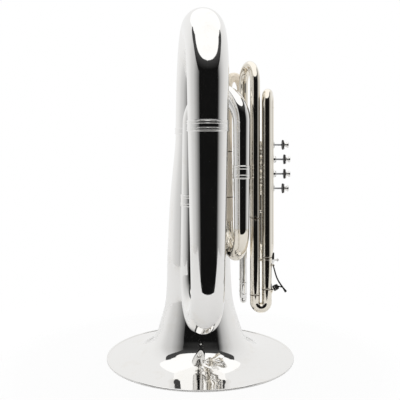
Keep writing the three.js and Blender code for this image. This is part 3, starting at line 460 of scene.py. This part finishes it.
# Each bow laps a little into its branches, so that no light shows through between them.
lap = 1.5
outer_foot, middle_top, third_foot = 250, 622, 372
fourth_at = (70, -75)
branches = [
    ("bottom_bow", half_turn((*throat_at, bell_height), (*outer_at, outer_top), 852), (57, 45), 64, silver),
    ("outer_branch", straight(outer_at, outer_top, outer_foot), (45, 38), 64, silver),
    ("top_bow", bow(outer_at, middle_at, outer_foot + lap, 163.4), (38, 34), 64, silver),
    ("middle_branch", straight(middle_at, outer_foot, middle_top), (34, 28), 56, silver),
    ("second_bow", bow(middle_at, third_at, middle_top - lap, 692.9), (28, 20.5), 48, silver),
    ("third_branch", straight(third_at, middle_top, third_foot), (20.5, 18), 48, silver),
    ("small_bow", bow(third_at, fourth_at, third_foot + lap, 300.7), (18, 15), 48, toned_silver),
    ("fourth_branch", straight(fourth_at, third_foot, 552), (15, 12), 48, warm_silver),
]
solder_heights = {"fourth_branch": [(434, 14), (551, 12)]}
for name, (corners, bends), radii, facets, finish in branches:
    warm = finish is warm_silver
    parts = [pipe(name + "_tube", corners, bends, radii, finish, slide_wall if warm else branch_wall, facets)]
    parts += [seam((*corners[-1][:2], height), up, radius, 2.2)
              for height, radius in solder_heights.get(name, [])]
    fitted(joined(name + "_tube", parts), "body", "warm_silver_plate" if warm else "silver_plate", name)


# The tuning slide: two sleeves held by a brace, and a crook of lighter tube that runs in them on a lapped
# fit and is pulled to tune the instrument. It stands between the last valve and the fourth branch, its bow
# at the top.
to_bell = (0, 1, 0)
wide_tube = 12


def collar(middle, heading, bore, length=5, rise=0.9, finish=silver):
    """A narrow band round a tube where a sleeve ends or a bow is soldered on a leg."""
    inner, outer = bore - 0.2, bore + rise
    outline = rounded([(0, inner), (0, outer), (length, outer), (length, inner)], 0.5)
    return turned("collar", Vector(middle) - Vector(heading) * length / 2, heading, outline, finish, 48)


def brace(first, last, radius=2.6, foot=5.5, finish=silver):
    """A turned stay between two points on tubes: a waisted rod with a rounded foot at each end."""
    length = (Vector(last) - Vector(first)).length
    half = [(0, 0), (0, foot), (1, foot), (2.2, foot * 0.75), (3.4, radius * 1.1)]
    outline = half + [(length / 2, radius * 0.9)] + [(length - d, r) for d, r in reversed(half)]
    return turned("brace", first, Vector(last) - Vector(first), outline, finish, 32)


def legs(name, corners, bends, radius, insert, finish):
    """A slide's crook: thinner legs for the length that stays in the sleeves, and the bow between them."""
    length = travelled(route(corners, bends))[-1]
    leg, step_start, step_end = radius - 1, insert + 0.9, insert + 1.1
    outline = [(0, leg), (step_start, leg), (step_end, radius), (length - step_end, radius),
               (length - step_start, leg), (length, leg)]
    return pipe(name, corners, bends, outline, finish)


valve_heights = [458 + 36.8 * n for n in range(4)]
last_valve = valve_heights[-1]
port_y = -83.7
tuning_at = (109, -30)
sleeve_top, brace_height = 690, 666
left_sleeve = pipe("left_sleeve", *straight(fourth_at, 552.4, sleeve_top), wide_tube, warm_silver)
right_sleeve = pipe("right_sleeve", [(*tuning_at, sleeve_top), (*tuning_at, last_valve),
                                     (tuning_at[0], port_y, last_valve)], [18], wide_tube, warm_silver)
across = (Vector(tuning_at) - Vector(fourth_at)).normalized() * (wide_tube - 0.4)
tuning_brace = brace((fourth_at[0] + across.x, fourth_at[1] + across.y, brace_height),
                     (tuning_at[0] - across.x, tuning_at[1] - across.y, brace_height), finish=warm_silver)
collars = [collar(middle, heading, wide_tube, finish=warm_silver) for middle, heading in (
    ((*fourth_at, sleeve_top - 3), up), ((*tuning_at, sleeve_top - 3), up),
    ((tuning_at[0], -81, last_valve), to_bell))]
fitted(joined("tuning_sleeves", [left_sleeve, right_sleeve, tuning_brace, *collars]), "body",
       "warm_silver_plate", "tuning_slide_sleeves")
fitted(legs("tuning_crook", *bow(fourth_at, tuning_at, 615, 745), wide_tube, 75, warm_silver), "tuning_slide",
       "warm_silver_plate", "tuning_slide_crook")


# The valve block: four casings of drawn tube, bored and lapped, brazed together by short knuckles through
# which the air goes from valve to valve. Each side port has a collar where its tube is soldered in.
to_fingers = (1, 0, 0)
narrow_tube = 8.5
setbacks = [4, 0, 0, 4]
casing_foot, casing_top, valve_y, knuckle_x = 92, 178, -100, 120.7
casing = rounded([(0, 14.6), (0, 15.6), (8.5, 15.6), (9, 16.4), (11.5, 16.4), (12, 16), (74, 16),
                  (74.5, 16.4), (77, 16.4), (77.5, 15.6), (86, 15.6), (86, 14.6)], 0.3)
knuckle = [(0, 0), (0, 9.1), (2.6, 7.6), (4.2, 9.1), (5.8, 9.1), (5.8, 0)]
block = [turned("casing", (casing_foot - back, valve_y, height), to_fingers, casing, silver, 64)
         for height, back in zip(valve_heights, setbacks)]
block += [turned("knuckle", (knuckle_x, valve_y, height + 15.5), up, knuckle, silver, 40)
          for height in valve_heights[:-1]]
ports = [(109.5, 1, narrow_tube), (131.5, 1, narrow_tube), (109.5, 2, narrow_tube), (131.5, 2, narrow_tube),
         (110, 0, narrow_tube), (130, 0, 9.5), (109, 3, wide_tube), (153, 3, wide_tube)]
for x, valve, radius in ports:
    outline = [(0, radius - 1.2), (0, radius + 2.4), (1.2, radius + 1.6), (3.6, radius + 0.9),
               (3.6, radius - 1.2)]
    block.append(turned("port", (x, valve_y + 13.2, valve_heights[valve]), to_bell, outline, silver, 48))
fitted(joined("valve_casings", block), "body", "silver_plate", "valve_block")


# The valve caps: turned brass, screwed on both ends of each casing, knurled round the edge so that fingers
# can undo them. The finger side has a longer boss that guides the stem; the foot side has a shallow dish.
knurl, told = rule("knurled edge", ("Ridges", "Int"), ("Edge radius", "Float"), ("Ridge length", "Float"),
                   ("Ridge width", "Float"), ("Middle", "Vector"))
across_x = (0, math.pi / 2, 0)
edge = add(knurl, "GeometryNodeMeshCircle", {"Vertices": told["Ridges"], "Radius": told["Edge radius"]})
upright = add(knurl, "GeometryNodeTransform", {"Rotation": across_x, "Geometry": edge.outputs["Mesh"]})
size = add(knurl, "ShaderNodeCombineXYZ", {
    "X": told["Ridge length"], "Y": told["Ridge width"], "Z": told["Ridge width"]})
ridge = add(knurl, "GeometryNodeMeshCube", {"Size": size.outputs[0]})
apart = add(knurl, "ShaderNodeSeparateXYZ", {0: add(knurl, "GeometryNodeInputPosition").outputs[0]})
bearing = add(knurl, "ShaderNodeMath", {"operation": "ARCTAN2", 0: apart.outputs["Z"], 1: apart.outputs["Y"]})
bearing = add(knurl, "ShaderNodeMath", {"operation": "ADD", 0: bearing.outputs[0], 1: math.pi / 4})
turn = add(knurl, "ShaderNodeCombineXYZ", {"X": bearing.outputs[0]})
ridges = add(knurl, "GeometryNodeInstanceOnPoints", {
    "Points": upright.outputs["Geometry"], "Instance": ridge.outputs["Mesh"], "Rotation": turn.outputs[0]})
home = add(knurl, "GeometryNodeTransform", {
    "Geometry": ridges.outputs["Instances"], "Translation": told["Middle"]})
ended(knurl, told, home.outputs["Geometry"])


def knurled(middle, radius, length, count):
    """A ring of fine ridges round a disc that lies across X, its middle in millimetres of the drawing."""
    return plain("knurl", ruled("knurl", bpy.data.meshes.new("knurl"), knurl, {
        "Ridges": count, "Edge radius": radius / 1000, "Ridge length": length / 1000,
        "Ridge width": 2.4 * radius / count / 1000, "Middle": spot(*middle), "Finish": silver}))


dish = rounded([(0.6, 0), (0.6, 7), (0, 9), (0, 16.8), (1.6, 18), (2.2, 17.4), (7.6, 17.4), (8.2, 18),
                (10.6, 18), (11.3, 17.6), (11.3, 16.4), (3, 16.4), (3, 0)], 0.3)
boss = rounded([(0, 16.4), (0, 17.6), (0.7, 18), (3.1, 18), (3.7, 17.4), (9.1, 17.4), (9.7, 18), (10.4, 17.6),
                (11.3, 15.4), (11.6, 10.4), (12.2, 9), (20, 9), (22.3, 7.6), (22.3, 2.7), (8.3, 2.7),
                (8.3, 16.4)], 0.3)
grip_radius, grip_length, grip_ridges = 17.3, 4.8, 72
for number, (height, back) in enumerate(zip(valve_heights, setbacks), 1):
    for name, node, foot, outline, grip in (
            ("foot_cap", "bottom_cap", casing_foot - back - 3.3, dish, 4.9),
            ("finger_cap", "top_cap", casing_top - back - 8, boss, 6.4)):
        fitted(joined(f"{name}_{number}", [
            turned("cap", (foot, valve_y, height), to_fingers, outline, silver),
            knurled((foot + grip, valve_y, height), grip_radius, grip_length, grip_ridges)]),
            "body", "silver_plate", f"{node}_{number}")


# The valves: hard nickel alloy pistons, lapped to a fine grey satin and drilled through for the air, each
# with a stem, a black felt that softens its stop, and a plated finger button. A drawn steel spring pushes
# it out.
def satin(name, colour, low, high, grain):
    """A metal without a mirror finish: fine turning marks 0.5 mm apart, drawn at 1 mm so that they show."""
    finish, tree = started(name)
    marks = patches(tree, grain, 3.0)
    worn = ranged(tree, marks, 0.5, 0.8, 0.0, 0.4)
    return surfaced(finish, {
        "Metallic": 1.0, "Base Color": blended(tree, worn, colour, "8A8A88"),
        "Roughness": ranged(tree, marks, 0.0, 1.0, low, high), "Normal": relief(tree, marks, 0.08, 0.2)})


def dark(name, colour, worn, rough, grain, depth, metallic=0.0, sheen=0.0):
    """Felt, cork or blackened metal: small uneven patches, rubbed paler on what stands proud."""
    finish, tree = started(name)
    lumps = patches(tree, grain, 5.0, 0.65)
    return surfaced(finish, {
        "Metallic": metallic, "Sheen Weight": sheen,
        "Base Color": blended(tree, ranged(tree, lumps, 0.45, 0.75), colour, worn),
        "Roughness": ranged(tree, lumps, 0.0, 1.0, rough - 0.08, rough + 0.08),
        "Normal": relief(tree, lumps, depth, 0.3)})


nickel = satin("lapped nickel alloy", "B9BABC", 0.22, 0.34, 1)
spring_steel = satin("drawn spring steel", "8E9196", 0.2, 0.32, 0.8)
felt = dark("pressed black felt", "141416", "26262A", 0.9, 0.9, 0.8, sheen=0.4)

coil, told = rule("wound spring", ("Turns", "Float"), ("Coil radius", "Float"), ("Length", "Float"),
                  ("Wire radius", "Float"), ("Foot", "Vector"))
helix = add(coil, "GeometryNodeCurveSpiral", {
    "Resolution": 24, "Rotations": told["Turns"], "Start Radius": told["Coil radius"],
    "End Radius": told["Coil radius"], "Height": told["Length"]})
strand = add(coil, "GeometryNodeCurvePrimitiveCircle", {"Resolution": 10, "Radius": told["Wire radius"]})
wound = add(coil, "GeometryNodeCurveToMesh", {
    "Fill Caps": True, "Curve": helix.outputs["Curve"], "Profile Curve": strand.outputs["Curve"]})
laid = add(coil, "GeometryNodeTransform", {
    "Rotation": across_x, "Geometry": wound.outputs["Mesh"], "Translation": told["Foot"]})
ended(coil, told, laid.outputs["Geometry"])

piston_length, boss_reach, felt_reach, button_reach = 62, 14.3, 19, 22.8
passage_radius, drill_reach, cross_passage_x = 7.2, 20, 138.7
drill_outline = [(0, 0), (0, passage_radius), (2 * drill_reach, passage_radius), (2 * drill_reach, 0)]
piston_outline = rounded([(6.4, 0), (6.4, 11.7), (0, 11.7), (0, 14.3), (6, 14.3), (6.4, 14), (7, 14),
                          (7.4, 14.3), (piston_length, 14.3), (piston_length, 4), (63, 2.3), (100.8, 2.3),
                          (100.8, 0)], 0.25)
pad = rounded([(0, 2.5), (0, 11.8), (0.7, 12.5), (2.8, 12.5), (3.5, 11.8), (3.5, 2.5)], 0.4)
button = rounded([(2.3, 0), (2.3, 2.6), (0, 2.6), (0, 12.1), (0.5, 12.5), (1.5, 12.5), (2, 12), (2.3, 7.2),
                  (3, 5.8), (5, 5.2), (7, 5.6), (8, 7), (8.6, 8.2), (11.4, 8.2), (12.6, 7.4), (13.3, 5),
                  (13.6, 2.4), (13.6, 0)], 0.3)
for number, (height, back) in enumerate(zip(valve_heights, setbacks), 1):
    foot, top = casing_foot - back, casing_top - back
    piston = turned("piston", (top - piston_length, valve_y, height), to_fingers, piston_outline, nickel)
    drills = [turned("drill", start, heading, drill_outline, nickel, 40) for start, heading in (
        ((knuckle_x - back, valve_y, height - drill_reach), up),
        ((cross_passage_x - back, valve_y - drill_reach, height), to_bell))]
    for drill in drills:
        hole = piston.modifiers.new("drill", "BOOLEAN")
        hole.object = drill
        hole.operation = "DIFFERENCE"
        hole.solver = "EXACT"
    piston = plain(f"valve_piston_{number}", piston)
    for drill in drills:
        bpy.data.objects.remove(drill)
    fitted(piston, f"valve_{number}", "piston_metal", f"piston_{number}")

    source = ruled("spring", bpy.data.meshes.new("spring"), coil, {
        "Turns": 6.5, "Coil radius": 0.0103, "Length": 0.0285, "Wire radius": 0.0008,
        "Foot": spot(foot + 0.9, valve_y, height), "Finish": spring_steel})
    spring = fitted(plain(f"coil_spring_{number}", source), "body", "spring_steel", f"valve_spring_{number}")
    spot(foot, valve_y, height)
    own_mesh(spring)

    boss_end = top + boss_reach
    fitted(turned(f"stop_felt_{number}", (boss_end + felt_reach, valve_y, height), to_fingers, pad, felt),
           f"valve_{number}", "felt", f"felt_{number}")
    fitted(turned(f"button_{number}", (boss_end + button_reach, valve_y, height), to_fingers, button, silver),
           f"valve_{number}", "silver_plate", f"finger_button_{number}")


# The fourth valve's tubing: two long tubes side by side in front of the valves, one up from the last valve
# and down again, the other over its own bow to the back and round into the valve, with a small stay between
# them.
front_y = -190
inlet_at, left_at, right_at, back_at = (109, valve_y), (131, front_y), (159, front_y), (169, -146)


def band(at, height, length, rise):
    """A toned collar on an upright tube of the fourth valve."""
    return collar((*at, height), up, wide_tube, length, rise, toned_silver)


inlet = pipe("inlet", *half_turn((*inlet_at, 584.7), (*left_at, 394), 763), wide_tube, toned_silver)
fitted(joined("fourth_inlet", [
    inlet, band(left_at, 397, 3.5, 0.6), seam((*left_at, 394.6), up, wide_tube),
    band(inlet_at, 588, 4, 0.9)]), "body", "silver_plate", "fourth_valve_inlet_tube")
over, over_bends = half_turn((*right_at, 300), (*back_at, 284), 693)
under, under_bends = half_turn((*back_at, 693), (153, -62, last_valve), 284)
back_tube = pipe("back", [*over[:3], *under[1:], (153, port_y, last_valve)],
                 [*over_bends, *under_bends, 15.6], wide_tube, toned_silver)
fitted(joined("fourth_return", [
    back_tube, band(right_at, 303, 3.5, 0.6), seam((*right_at, 300.6), up, wide_tube),
    band(back_at, 660, 4, 0.7)]), "body", "silver_plate", "fourth_valve_return_tube")
knob = [(0, 0), (0, 3), (0.5, 3.2), (1.7, 3.6), (2.9, 3.2), (3.4, 3), (3.4, 0)]
fitted(turned("tube_stay", (143.3, front_y, 409), to_fingers, knob, silver, 32), "body", "silver_plate",
       "loop_stay")


# The fourth valve's slide: a long crook of two legs and a bow, pulled down out of its sleeves to tune and
# to empty it. Bands mark where the bow is soldered on the legs, and its front carries the water key's posts
# and nipple.
crook_foot, rung_height = 179, 293
crook = legs("crook", [(*left_at, 479), (*left_at, crook_foot), (*right_at, crook_foot), (*right_at, 385)],
             [14, 14], wide_tube, 85, toned_silver)
key_slope, pivot_height = 0.49, 281
tilt = Vector((math.cos(key_slope), 0, math.sin(key_slope)))
key_foot = Vector((*right_at, 216))
nipple = turned("nipple", key_foot + tilt * 10.6, tilt, [
    (0, 3.2), (0, 8.6), (1.2, 7.4), (3, 5.4), (4.6, 4.3), (6.6, 4), (6.6, 3.2)], toned_silver, 32)
post = rounded([(0, 0), (0, 2.2), (7.8, 2), (7.8, 0)], 0.4)
posts = [turned("post", (169.4, front_y + side * 4.5, pivot_height), to_fingers, post, toned_silver, 24)
         for side in (-1, 1)]
saddle = turned("saddle", (169.9, front_y, pivot_height), to_fingers, [
    (0, 0), (0, 7.4), (0.9, 7), (1.2, 5), (1.3, 0)], toned_silver, 40)
rung = brace((142.7, front_y, rung_height), (147.3, front_y, rung_height), 2.6, 3.4, toned_silver)
fitted(joined("fourth_crook", [
    crook, nipple, *posts, saddle, rung,
    band(left_at, 213, 3, 0.5), seam((*left_at, 210.4), up, wide_tube, 2.4),
    band(right_at, 226.6, 3, 0.5), seam((*right_at, 224), up, wide_tube, 2.4),
    band(left_at, 390, 3, 0.4), band(right_at, 296, 3, 0.4)]), "fourth_slide", "silver_plate",
    "fourth_valve_crook")


# The water key: a curved lever of blackened brass on a pin, which holds a cork pad in a cup on the nipple
# with a small wire spring. A finger presses the free end to let the water out.
blackened = dark("blackened brass", "101012", "34322F", 0.42, 4, 0.15, metallic=0.6)
cork = dark("cork pad in a black cup", "17130F", "2A2119", 0.8, 1.2, 0.6)
pivot = Vector((174.2, front_y, pivot_height))
tip = pivot + Vector((30.3, 0, -63.5))
bulge = pivot.lerp(tip, 0.5) - Vector((4.5, 0, 2.25))
spine = eased_line([pivot, bulge, tip], 14)
arm_facets, squareness, wide_from, thick_from = 16, 0.6, 0.72, 0.86
arm_corners = [(math.cos(a), math.sin(a)) for a in [2 * math.pi * k / arm_facets for k in range(arm_facets)]]
arm = bmesh.new()
rings = []
for i, point in enumerate(spine):
    ahead = (spine[min(i + 1, len(spine) - 1)] - spine[max(i - 1, 0)]).normalized()
    out = ahead.cross(Vector(to_bell))
    share = i / (len(spine) - 1)
    wide = 2.3 + 2.2 * max(0, share - wide_from) / (1 - wide_from)
    thick = 1.5 + 0.5 * share + 1.1 * max(0, share - thick_from) / (1 - thick_from)
    rings.append([arm.verts.new(spot(*(
        point + out * thick * math.copysign(abs(c) ** squareness, c)
        + Vector(to_bell) * wide * math.copysign(abs(s) ** squareness, s)))) for c, s in arm_corners])
skinned(arm, rings, arm_facets, looped=False)
arm.faces.new(rings[0])
arm.faces.new(rings[-1])
lever = cast("arm", arm, blackened)
cup_foot = key_foot + tilt * ((12.3 + 7 * math.sin(key_slope)) / math.cos(key_slope))
cup_outline = rounded([(0, 0), (0, 7.2), (6.9, 6), (8.3, 4.8), (8.3, 0)], 0.5)
cup = turned("cup", cup_foot + tilt * 5.2, tilt, cup_outline, blackened, 40)
link = tube("link", [cup_foot + tilt * 12.8, spine[round(0.82 * (len(spine) - 1))]], [1.5, 1.5], blackened,
            facets=20, closed=True)
pin = turned("pin", pivot - Vector((0, 7.2, 0)), to_bell, rounded(
    [(0, 0), (0, 1.8), (1, 1.8), (1.4, 1.3), (4.4, 1.3), (4.4, 2.6), (10, 2.6), (10, 1.3), (13, 1.3),
     (13.4, 1.8), (14.4, 1.8), (14.4, 0)], 0.2), blackened, 32)
fitted(joined("key_lever", [lever, cup, link, pin]), "water_key", "black_metal", "water_key_lever")
fitted(turned("key_cork", cup_foot, tilt, rounded([(0, 0), (0, 6.7), (5, 6.7), (5, 0)], 0.7), cork, 40),
       "water_key", "black_cork", "water_key_cork")


# The slides of the first three valves: pairs of sleeves with a brace, and crooks that pull out of them, the
# first down below the valves and the other two to the back.
first_x, first_foot, first_back, first_brace = 110, 217, -66, 234
first_valve = valve_heights[0]
front = pipe("front", *straight((first_x, valve_y), 441.7, first_foot), narrow_tube, silver)
rear = pipe("rear", [(first_x, port_y, first_valve), (first_x, first_back, first_valve),
                     (first_x, first_back, first_foot)], [11], narrow_tube, silver)
collars = [collar((first_x, y, z), up, narrow_tube, 4)
           for y, z in ((valve_y, 219), (first_back, 219), (valve_y, 439))]
fitted(joined("first_sleeves", [
    front, rear, brace((first_x, -91.7, first_brace), (first_x, -74.3, first_brace), 2.4, 4), *collars]),
    "body", "silver_plate", "first_slide_sleeves")
first_bow = bow((first_x, valve_y), (first_x, first_back), 277, 171.5)
fitted(joined("first_crook", [
    legs("crook", *first_bow, narrow_tube, 60, silver),
    *[collar((first_x, y, 190), up, narrow_tube, 4, 0.7) for y in (valve_y, first_back)]]),
    "first_slide", "silver_plate", "first_slide_crook")
left_x, right_x = 109.5, 131.5
for name, height, sleeve_end, crook_end, insert in (
        ("second", valve_heights[1], -45, -13.5, 26), ("third", valve_heights[2], 0, 61.5, 60)):
    sleeves = [pipe("sleeve", [(x, port_y, height), (x, sleeve_end, height)], [], narrow_tube, silver)
               for x in (left_x, right_x)]
    ends = [collar((x, sleeve_end - 2, height), to_bell, narrow_tube, 4) for x in (left_x, right_x)]
    rod = brace((left_x + 8.1, sleeve_end - 17, height), (right_x - 8.1, sleeve_end - 17, height), 2.4, 3.6)
    fitted(joined(f"{name}_sleeves", [*sleeves, *ends, rod]), "body", "silver_plate", f"{name}_slide_sleeves")
    start = sleeve_end - insert
    fitted(legs(f"{name}_crook", [(left_x, start, height), (left_x, crook_end, height),
                                  (right_x, crook_end, height), (right_x, start, height)], [11, 11],
                narrow_tube, insert, silver), f"{name}_slide", "silver_plate", f"{name}_slide_crook")


# The leadpipe: a slim tapered tube from the mouthpiece receiver round the back of the bell to the first
# valve, and the receiver, turned thick, with a flared mouth that takes the mouthpiece's shank.
lead_x, lead_y = 130, 118
fitted(pipe("mouth_pipe", [(-22, lead_y, first_valve), (lead_x, lead_y, first_valve),
                           (lead_x, port_y, first_valve)], [60], (6.8, 9.5), silver),
       "body", "silver_plate", "leadpipe")
receiver = rounded([(0, 7.3), (0, 9.4), (0.8, 10.8), (2.6, 10.9), (3.4, 9.8), (5, 9.2), (38, 8.9), (40, 9.6),
                    (42, 9.6), (44, 8.9), (54, 8.4), (58, 7.6), (58, 6.95), (44, 6.9), (43.6, 6.2)], 0.3)
fitted(turned("shank_receiver", (-66, lead_y, first_valve), to_fingers, receiver, silver), "body",
       "silver_plate", "mouthpiece_receiver")


# The lyre socket: a small square block soldered on the return tube's bow, with a square way through it for
# the stem of a music holder, and a knurled thumb screw that clamps the stem.
def drawing_box(node):
    """A solid's box, in the drawing's millimetres."""
    return [(Vector(corner) - Vector((bell_middle.x, bell_middle.y, 0))) * 1000 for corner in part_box(node)]


low, high = drawing_box("lyre_socket")
centre, half = (low + high) / 2, (high - low) / 2
way = 2.7
block = bmesh.new()
rings = [[block.verts.new(spot(centre.x + side_x * reach_x, centre.y + side_y * reach_y, z))
          for side_x, side_y in ((-1, -1), (1, -1), (1, 1), (-1, 1))]
         for reach_x, reach_y, z in ((half.x, half.y, low.z), (half.x, half.y, high.z), (way, way, high.z),
                                     (way, way, low.z))]
skinned(block, rings, 4, looped=True)
socket = cast("socket", block, silver)
edges = socket.modifiers.new("eased edges", "BEVEL")
edges.width = 0.0008
edges.segments = 3
fitted(plain("music_holder_socket", socket), "body", "silver_plate", "lyre_socket")
low, high = drawing_box("thumb_screw")
reach, screw_height = high.x - low.x, 279
screw = rounded([(0, 0), (0, 1.6), (0.5, 1.95), (reach - 5.4, 1.95), (reach - 5.2, 3), (reach - 4.6, 3.5),
                 (reach - 0.8, 3.5), (reach, 2.8), (reach, 0)], 0.25)
fitted(joined("clamp_screw", [
    turned("screw", (low.x, centre.y, screw_height), to_fingers, screw, silver, 40),
    knurled((high.x - 2.8, centre.y, screw_height), 3.45, 3.4, 22)]),
    "lyre_screw", "silver_plate", "thumb_screw")


# The stays: turned rods with spread feet, soldered between the bell and the middle branch, and a blackened
# one from the middle branch to the small bow.
stay_height = 455
bell_brace = brace((-12, -70.6, stay_height), (-13.9, -98.6, stay_height), 3, 7)
fitted(joined("bell_brace", [bell_brace]), "body", "silver_plate", "bell_stay")
low, high = drawing_box("small_bow_stay")
level, foot_radius = (low.z + high.z) / 2, 7
dark_brace = brace((low.x + 1, high.y - foot_radius, level), (high.x - 1, low.y + foot_radius, level), 3, 6,
                   blackened)
fitted(joined("bow_brace", [dark_brace]), "body", "black_metal", "small_bow_stay")


# The studio: a pale floor, and what a polished tube mirrors round it: a white curtain on three sides, an
# oval soft box overhead that meets the curtain at the back, and the dark room behind the camera.
white = (1, 1, 1, 1)


def card(name, points, faces, light):
    """A lit surface that only mirrors and light see, so that it never hides the instrument. Its light is
    worked out from its own coordinates by the function that is given."""
    mesh = bpy.data.meshes.new(name)
    mesh.from_pydata(points, [], faces)
    panel = linked(name, mesh)
    glow, tree = started(name)
    place = add(tree, "ShaderNodeTexCoord").outputs["Object"]
    shine = add(tree, "ShaderNodeEmission", {"Color": white})
    light(tree, place, shine.inputs["Strength"])
    add(tree, "ShaderNodeOutputMaterial", {"Surface": shine.outputs[0]})
    mesh.materials.append(glow)
    panel.visible_camera = False
    panel.visible_shadow = False


def by_bearing(tree, place, strength):
    """The curtain's light by its bearing, in degrees from the camera and positive to the right."""
    parts = add(tree, "ShaderNodeSeparateXYZ", {0: place})
    ahead = add(tree, "ShaderNodeMath", {"operation": "MULTIPLY", 0: parts.outputs["Y"], 1: -1})
    bearing = add(tree, "ShaderNodeMath", {
        "operation": "ARCTAN2", 0: parts.outputs["X"], 1: ahead.outputs[0]})
    ramp = add(tree, "ShaderNodeValToRGB", {0: ranged(tree, bearing.outputs[0], -math.pi, math.pi)})
    stops = [(-180, 0.9), (-140, 0.9), (-116, 0.84), (-95, 0.68), (-79, 0.6), (-64, 0.4), (-50, 0.17),
             (-40, 0.01), (50, 0.01), (56, 0.16), (64, 0.42), (79, 0.62), (95, 0.76), (116, 0.82),
             (145, 0.88), (180, 0.9)]
    bands = ramp.color_ramp.elements
    for i, (degrees, level) in enumerate(stops):
        share = (degrees + 180) / 360
        if i < 2:
            bands[i].position = share
        stop = bands[i] if i < 2 else bands.new(share)
        stop.color = (level, level, level, 1)
    tree.links.new(ramp.outputs[0], strength)


def even(level):
    """The same light all over."""
    def light(tree, place, strength):
        strength.default_value = level
    return light


def between(table, degrees):
    """The value at a bearing, straight between the table's, which holds for the left and the right."""
    degrees = min(degrees, 360 - degrees)
    for (low, first), (high, last) in zip(table, table[1:]):
        if degrees <= high:
            return first + (last - first) * max(0, degrees - low) / (high - low)
    return table[-1][1]


def ahead_by(degrees, reach):
    """The place that lies that far from the middle, on a bearing from the camera."""
    return math.sin(math.radians(degrees)) * reach, -math.cos(math.radians(degrees)) * reach


curtain_radius, curtain_low = 2.4, -0.6
curtain_tops = [(48, 1.45), (70, 2.0), (90, 2.5), (115, 2.8), (135, 3.5), (180, 3.5)]
arc = list(range(48, 317, 4))
hem = [(*ahead_by(b, curtain_radius), curtain_low) for b in arc]
top = [(*ahead_by(b, curtain_radius), between(curtain_tops, b)) for b in arc]
card("white curtain", hem + top, [(i, i + 1, len(arc) + i + 1, len(arc) + i) for i in range(len(arc) - 1)],
     by_bearing)
soft_box_height, soft_box_light = 2.45, 1.1
soft_box_reach = [(0, 2.75), (30, 2.6), (55, 2.25), (75, 1.8), (90, 1.5), (115, 1.6), (140, 2.2), (180, 2.4)]
oval = [(*ahead_by(b, between(soft_box_reach, b)), soft_box_height) for b in range(0, 360, 5)]
card("soft box", oval, [tuple(range(len(oval)))], even(soft_box_light))

# The floor is a sheet of white paper. It is lifted towards white where the camera sees it, and fades out
# with the distance, so that it has no edge.
half_floor, floor_front, floor_back = 1.6, -0.95, 2.4
paper_lift, fade_start, fade_end = 0.92, 0.45, 0.85
mesh = bpy.data.meshes.new("floor")
mesh.from_pydata([(-half_floor, floor_front, 0), (half_floor, floor_front, 0), (half_floor, floor_back, 0),
                  (-half_floor, floor_back, 0)], [], [(0, 1, 2, 3)])
floor = linked("floor", mesh)
paper, tree = started("white paper sweep")
seen = add(tree, "ShaderNodeLightPath").outputs["Is Camera Ray"]
matt = add(tree, "ShaderNodeBsdfDiffuse", {"Color": linear("F4F4F4")})
lit = add(tree, "ShaderNodeEmission", {"Color": white, "Strength": 1.0})
lift = add(tree, "ShaderNodeMath", {"operation": "MULTIPLY", 0: seen, 1: paper_lift})
lifted = add(tree, "ShaderNodeMixShader", {0: lift.outputs[0], 1: matt.outputs[0], 2: lit.outputs[0]})
place = add(tree, "ShaderNodeTexCoord").outputs["Object"]
away = add(tree, "ShaderNodeVectorMath", {"operation": "LENGTH", 0: place}).outputs["Value"]
fade = ranged(tree, away, fade_start, fade_end)
faded = add(tree, "ShaderNodeMath", {"operation": "MULTIPLY", 0: fade, 1: seen})
clear = add(tree, "ShaderNodeBsdfTransparent")
ground = add(tree, "ShaderNodeMixShader", {0: faded.outputs[0], 1: lifted.outputs[0], 2: clear.outputs[0]})
add(tree, "ShaderNodeOutputMaterial", {"Surface": ground.outputs[0]})
mesh.materials.append(paper)

# The room is white to the camera, softly lit to dull surfaces, and dark to mirrors but for a grey ceiling.
room_light, mirror_dark, mirror_ceiling = 0.75, 0.006, 0.06
world = bpy.data.worlds.new("studio")
bpy.context.scene.world = world
world.use_nodes = True
tree = world.node_tree
tree.nodes.clear()
ray = add(tree, "ShaderNodeLightPath")
seen = add(tree, "ShaderNodeBackground", {"Color": white, "Strength": 1.0})
soft = add(tree, "ShaderNodeBackground", {"Color": white, "Strength": room_light})
way_up = add(tree, "ShaderNodeSeparateXYZ", {0: add(tree, "ShaderNodeTexCoord").outputs["Generated"]})
ceiling = ranged(tree, way_up.outputs["Z"], 0.38, 0.6, mirror_dark, mirror_ceiling)
room = add(tree, "ShaderNodeBackground", {"Color": white, "Strength": ceiling})
mirrored = add(tree, "ShaderNodeMixShader", {
    0: ray.outputs["Is Glossy Ray"], 1: soft.outputs[0], 2: room.outputs[0]})
shown = add(tree, "ShaderNodeMixShader", {
    0: ray.outputs["Is Camera Ray"], 1: mirrored.outputs[0], 2: seen.outputs[0]})
add(tree, "ShaderNodeOutputWorld", {"Surface": shown.outputs[0]})

# The camera stands level before the outer branch, and its lens is shifted down to the photograph's view.
lens = bpy.data.cameras.new("camera")
camera = linked("camera", lens)
bpy.context.scene.camera = camera
camera_reach, camera_height = 1667, 573
camera.location = spot(0, -camera_reach, camera_height)
camera.rotation_euler = (math.pi / 2, 0, 0)
lens.lens = 55.53
lens.shift_x = -0.00075
lens.shift_y = -0.1425
bpy.context.scene.view_settings.view_transform = "Standard"
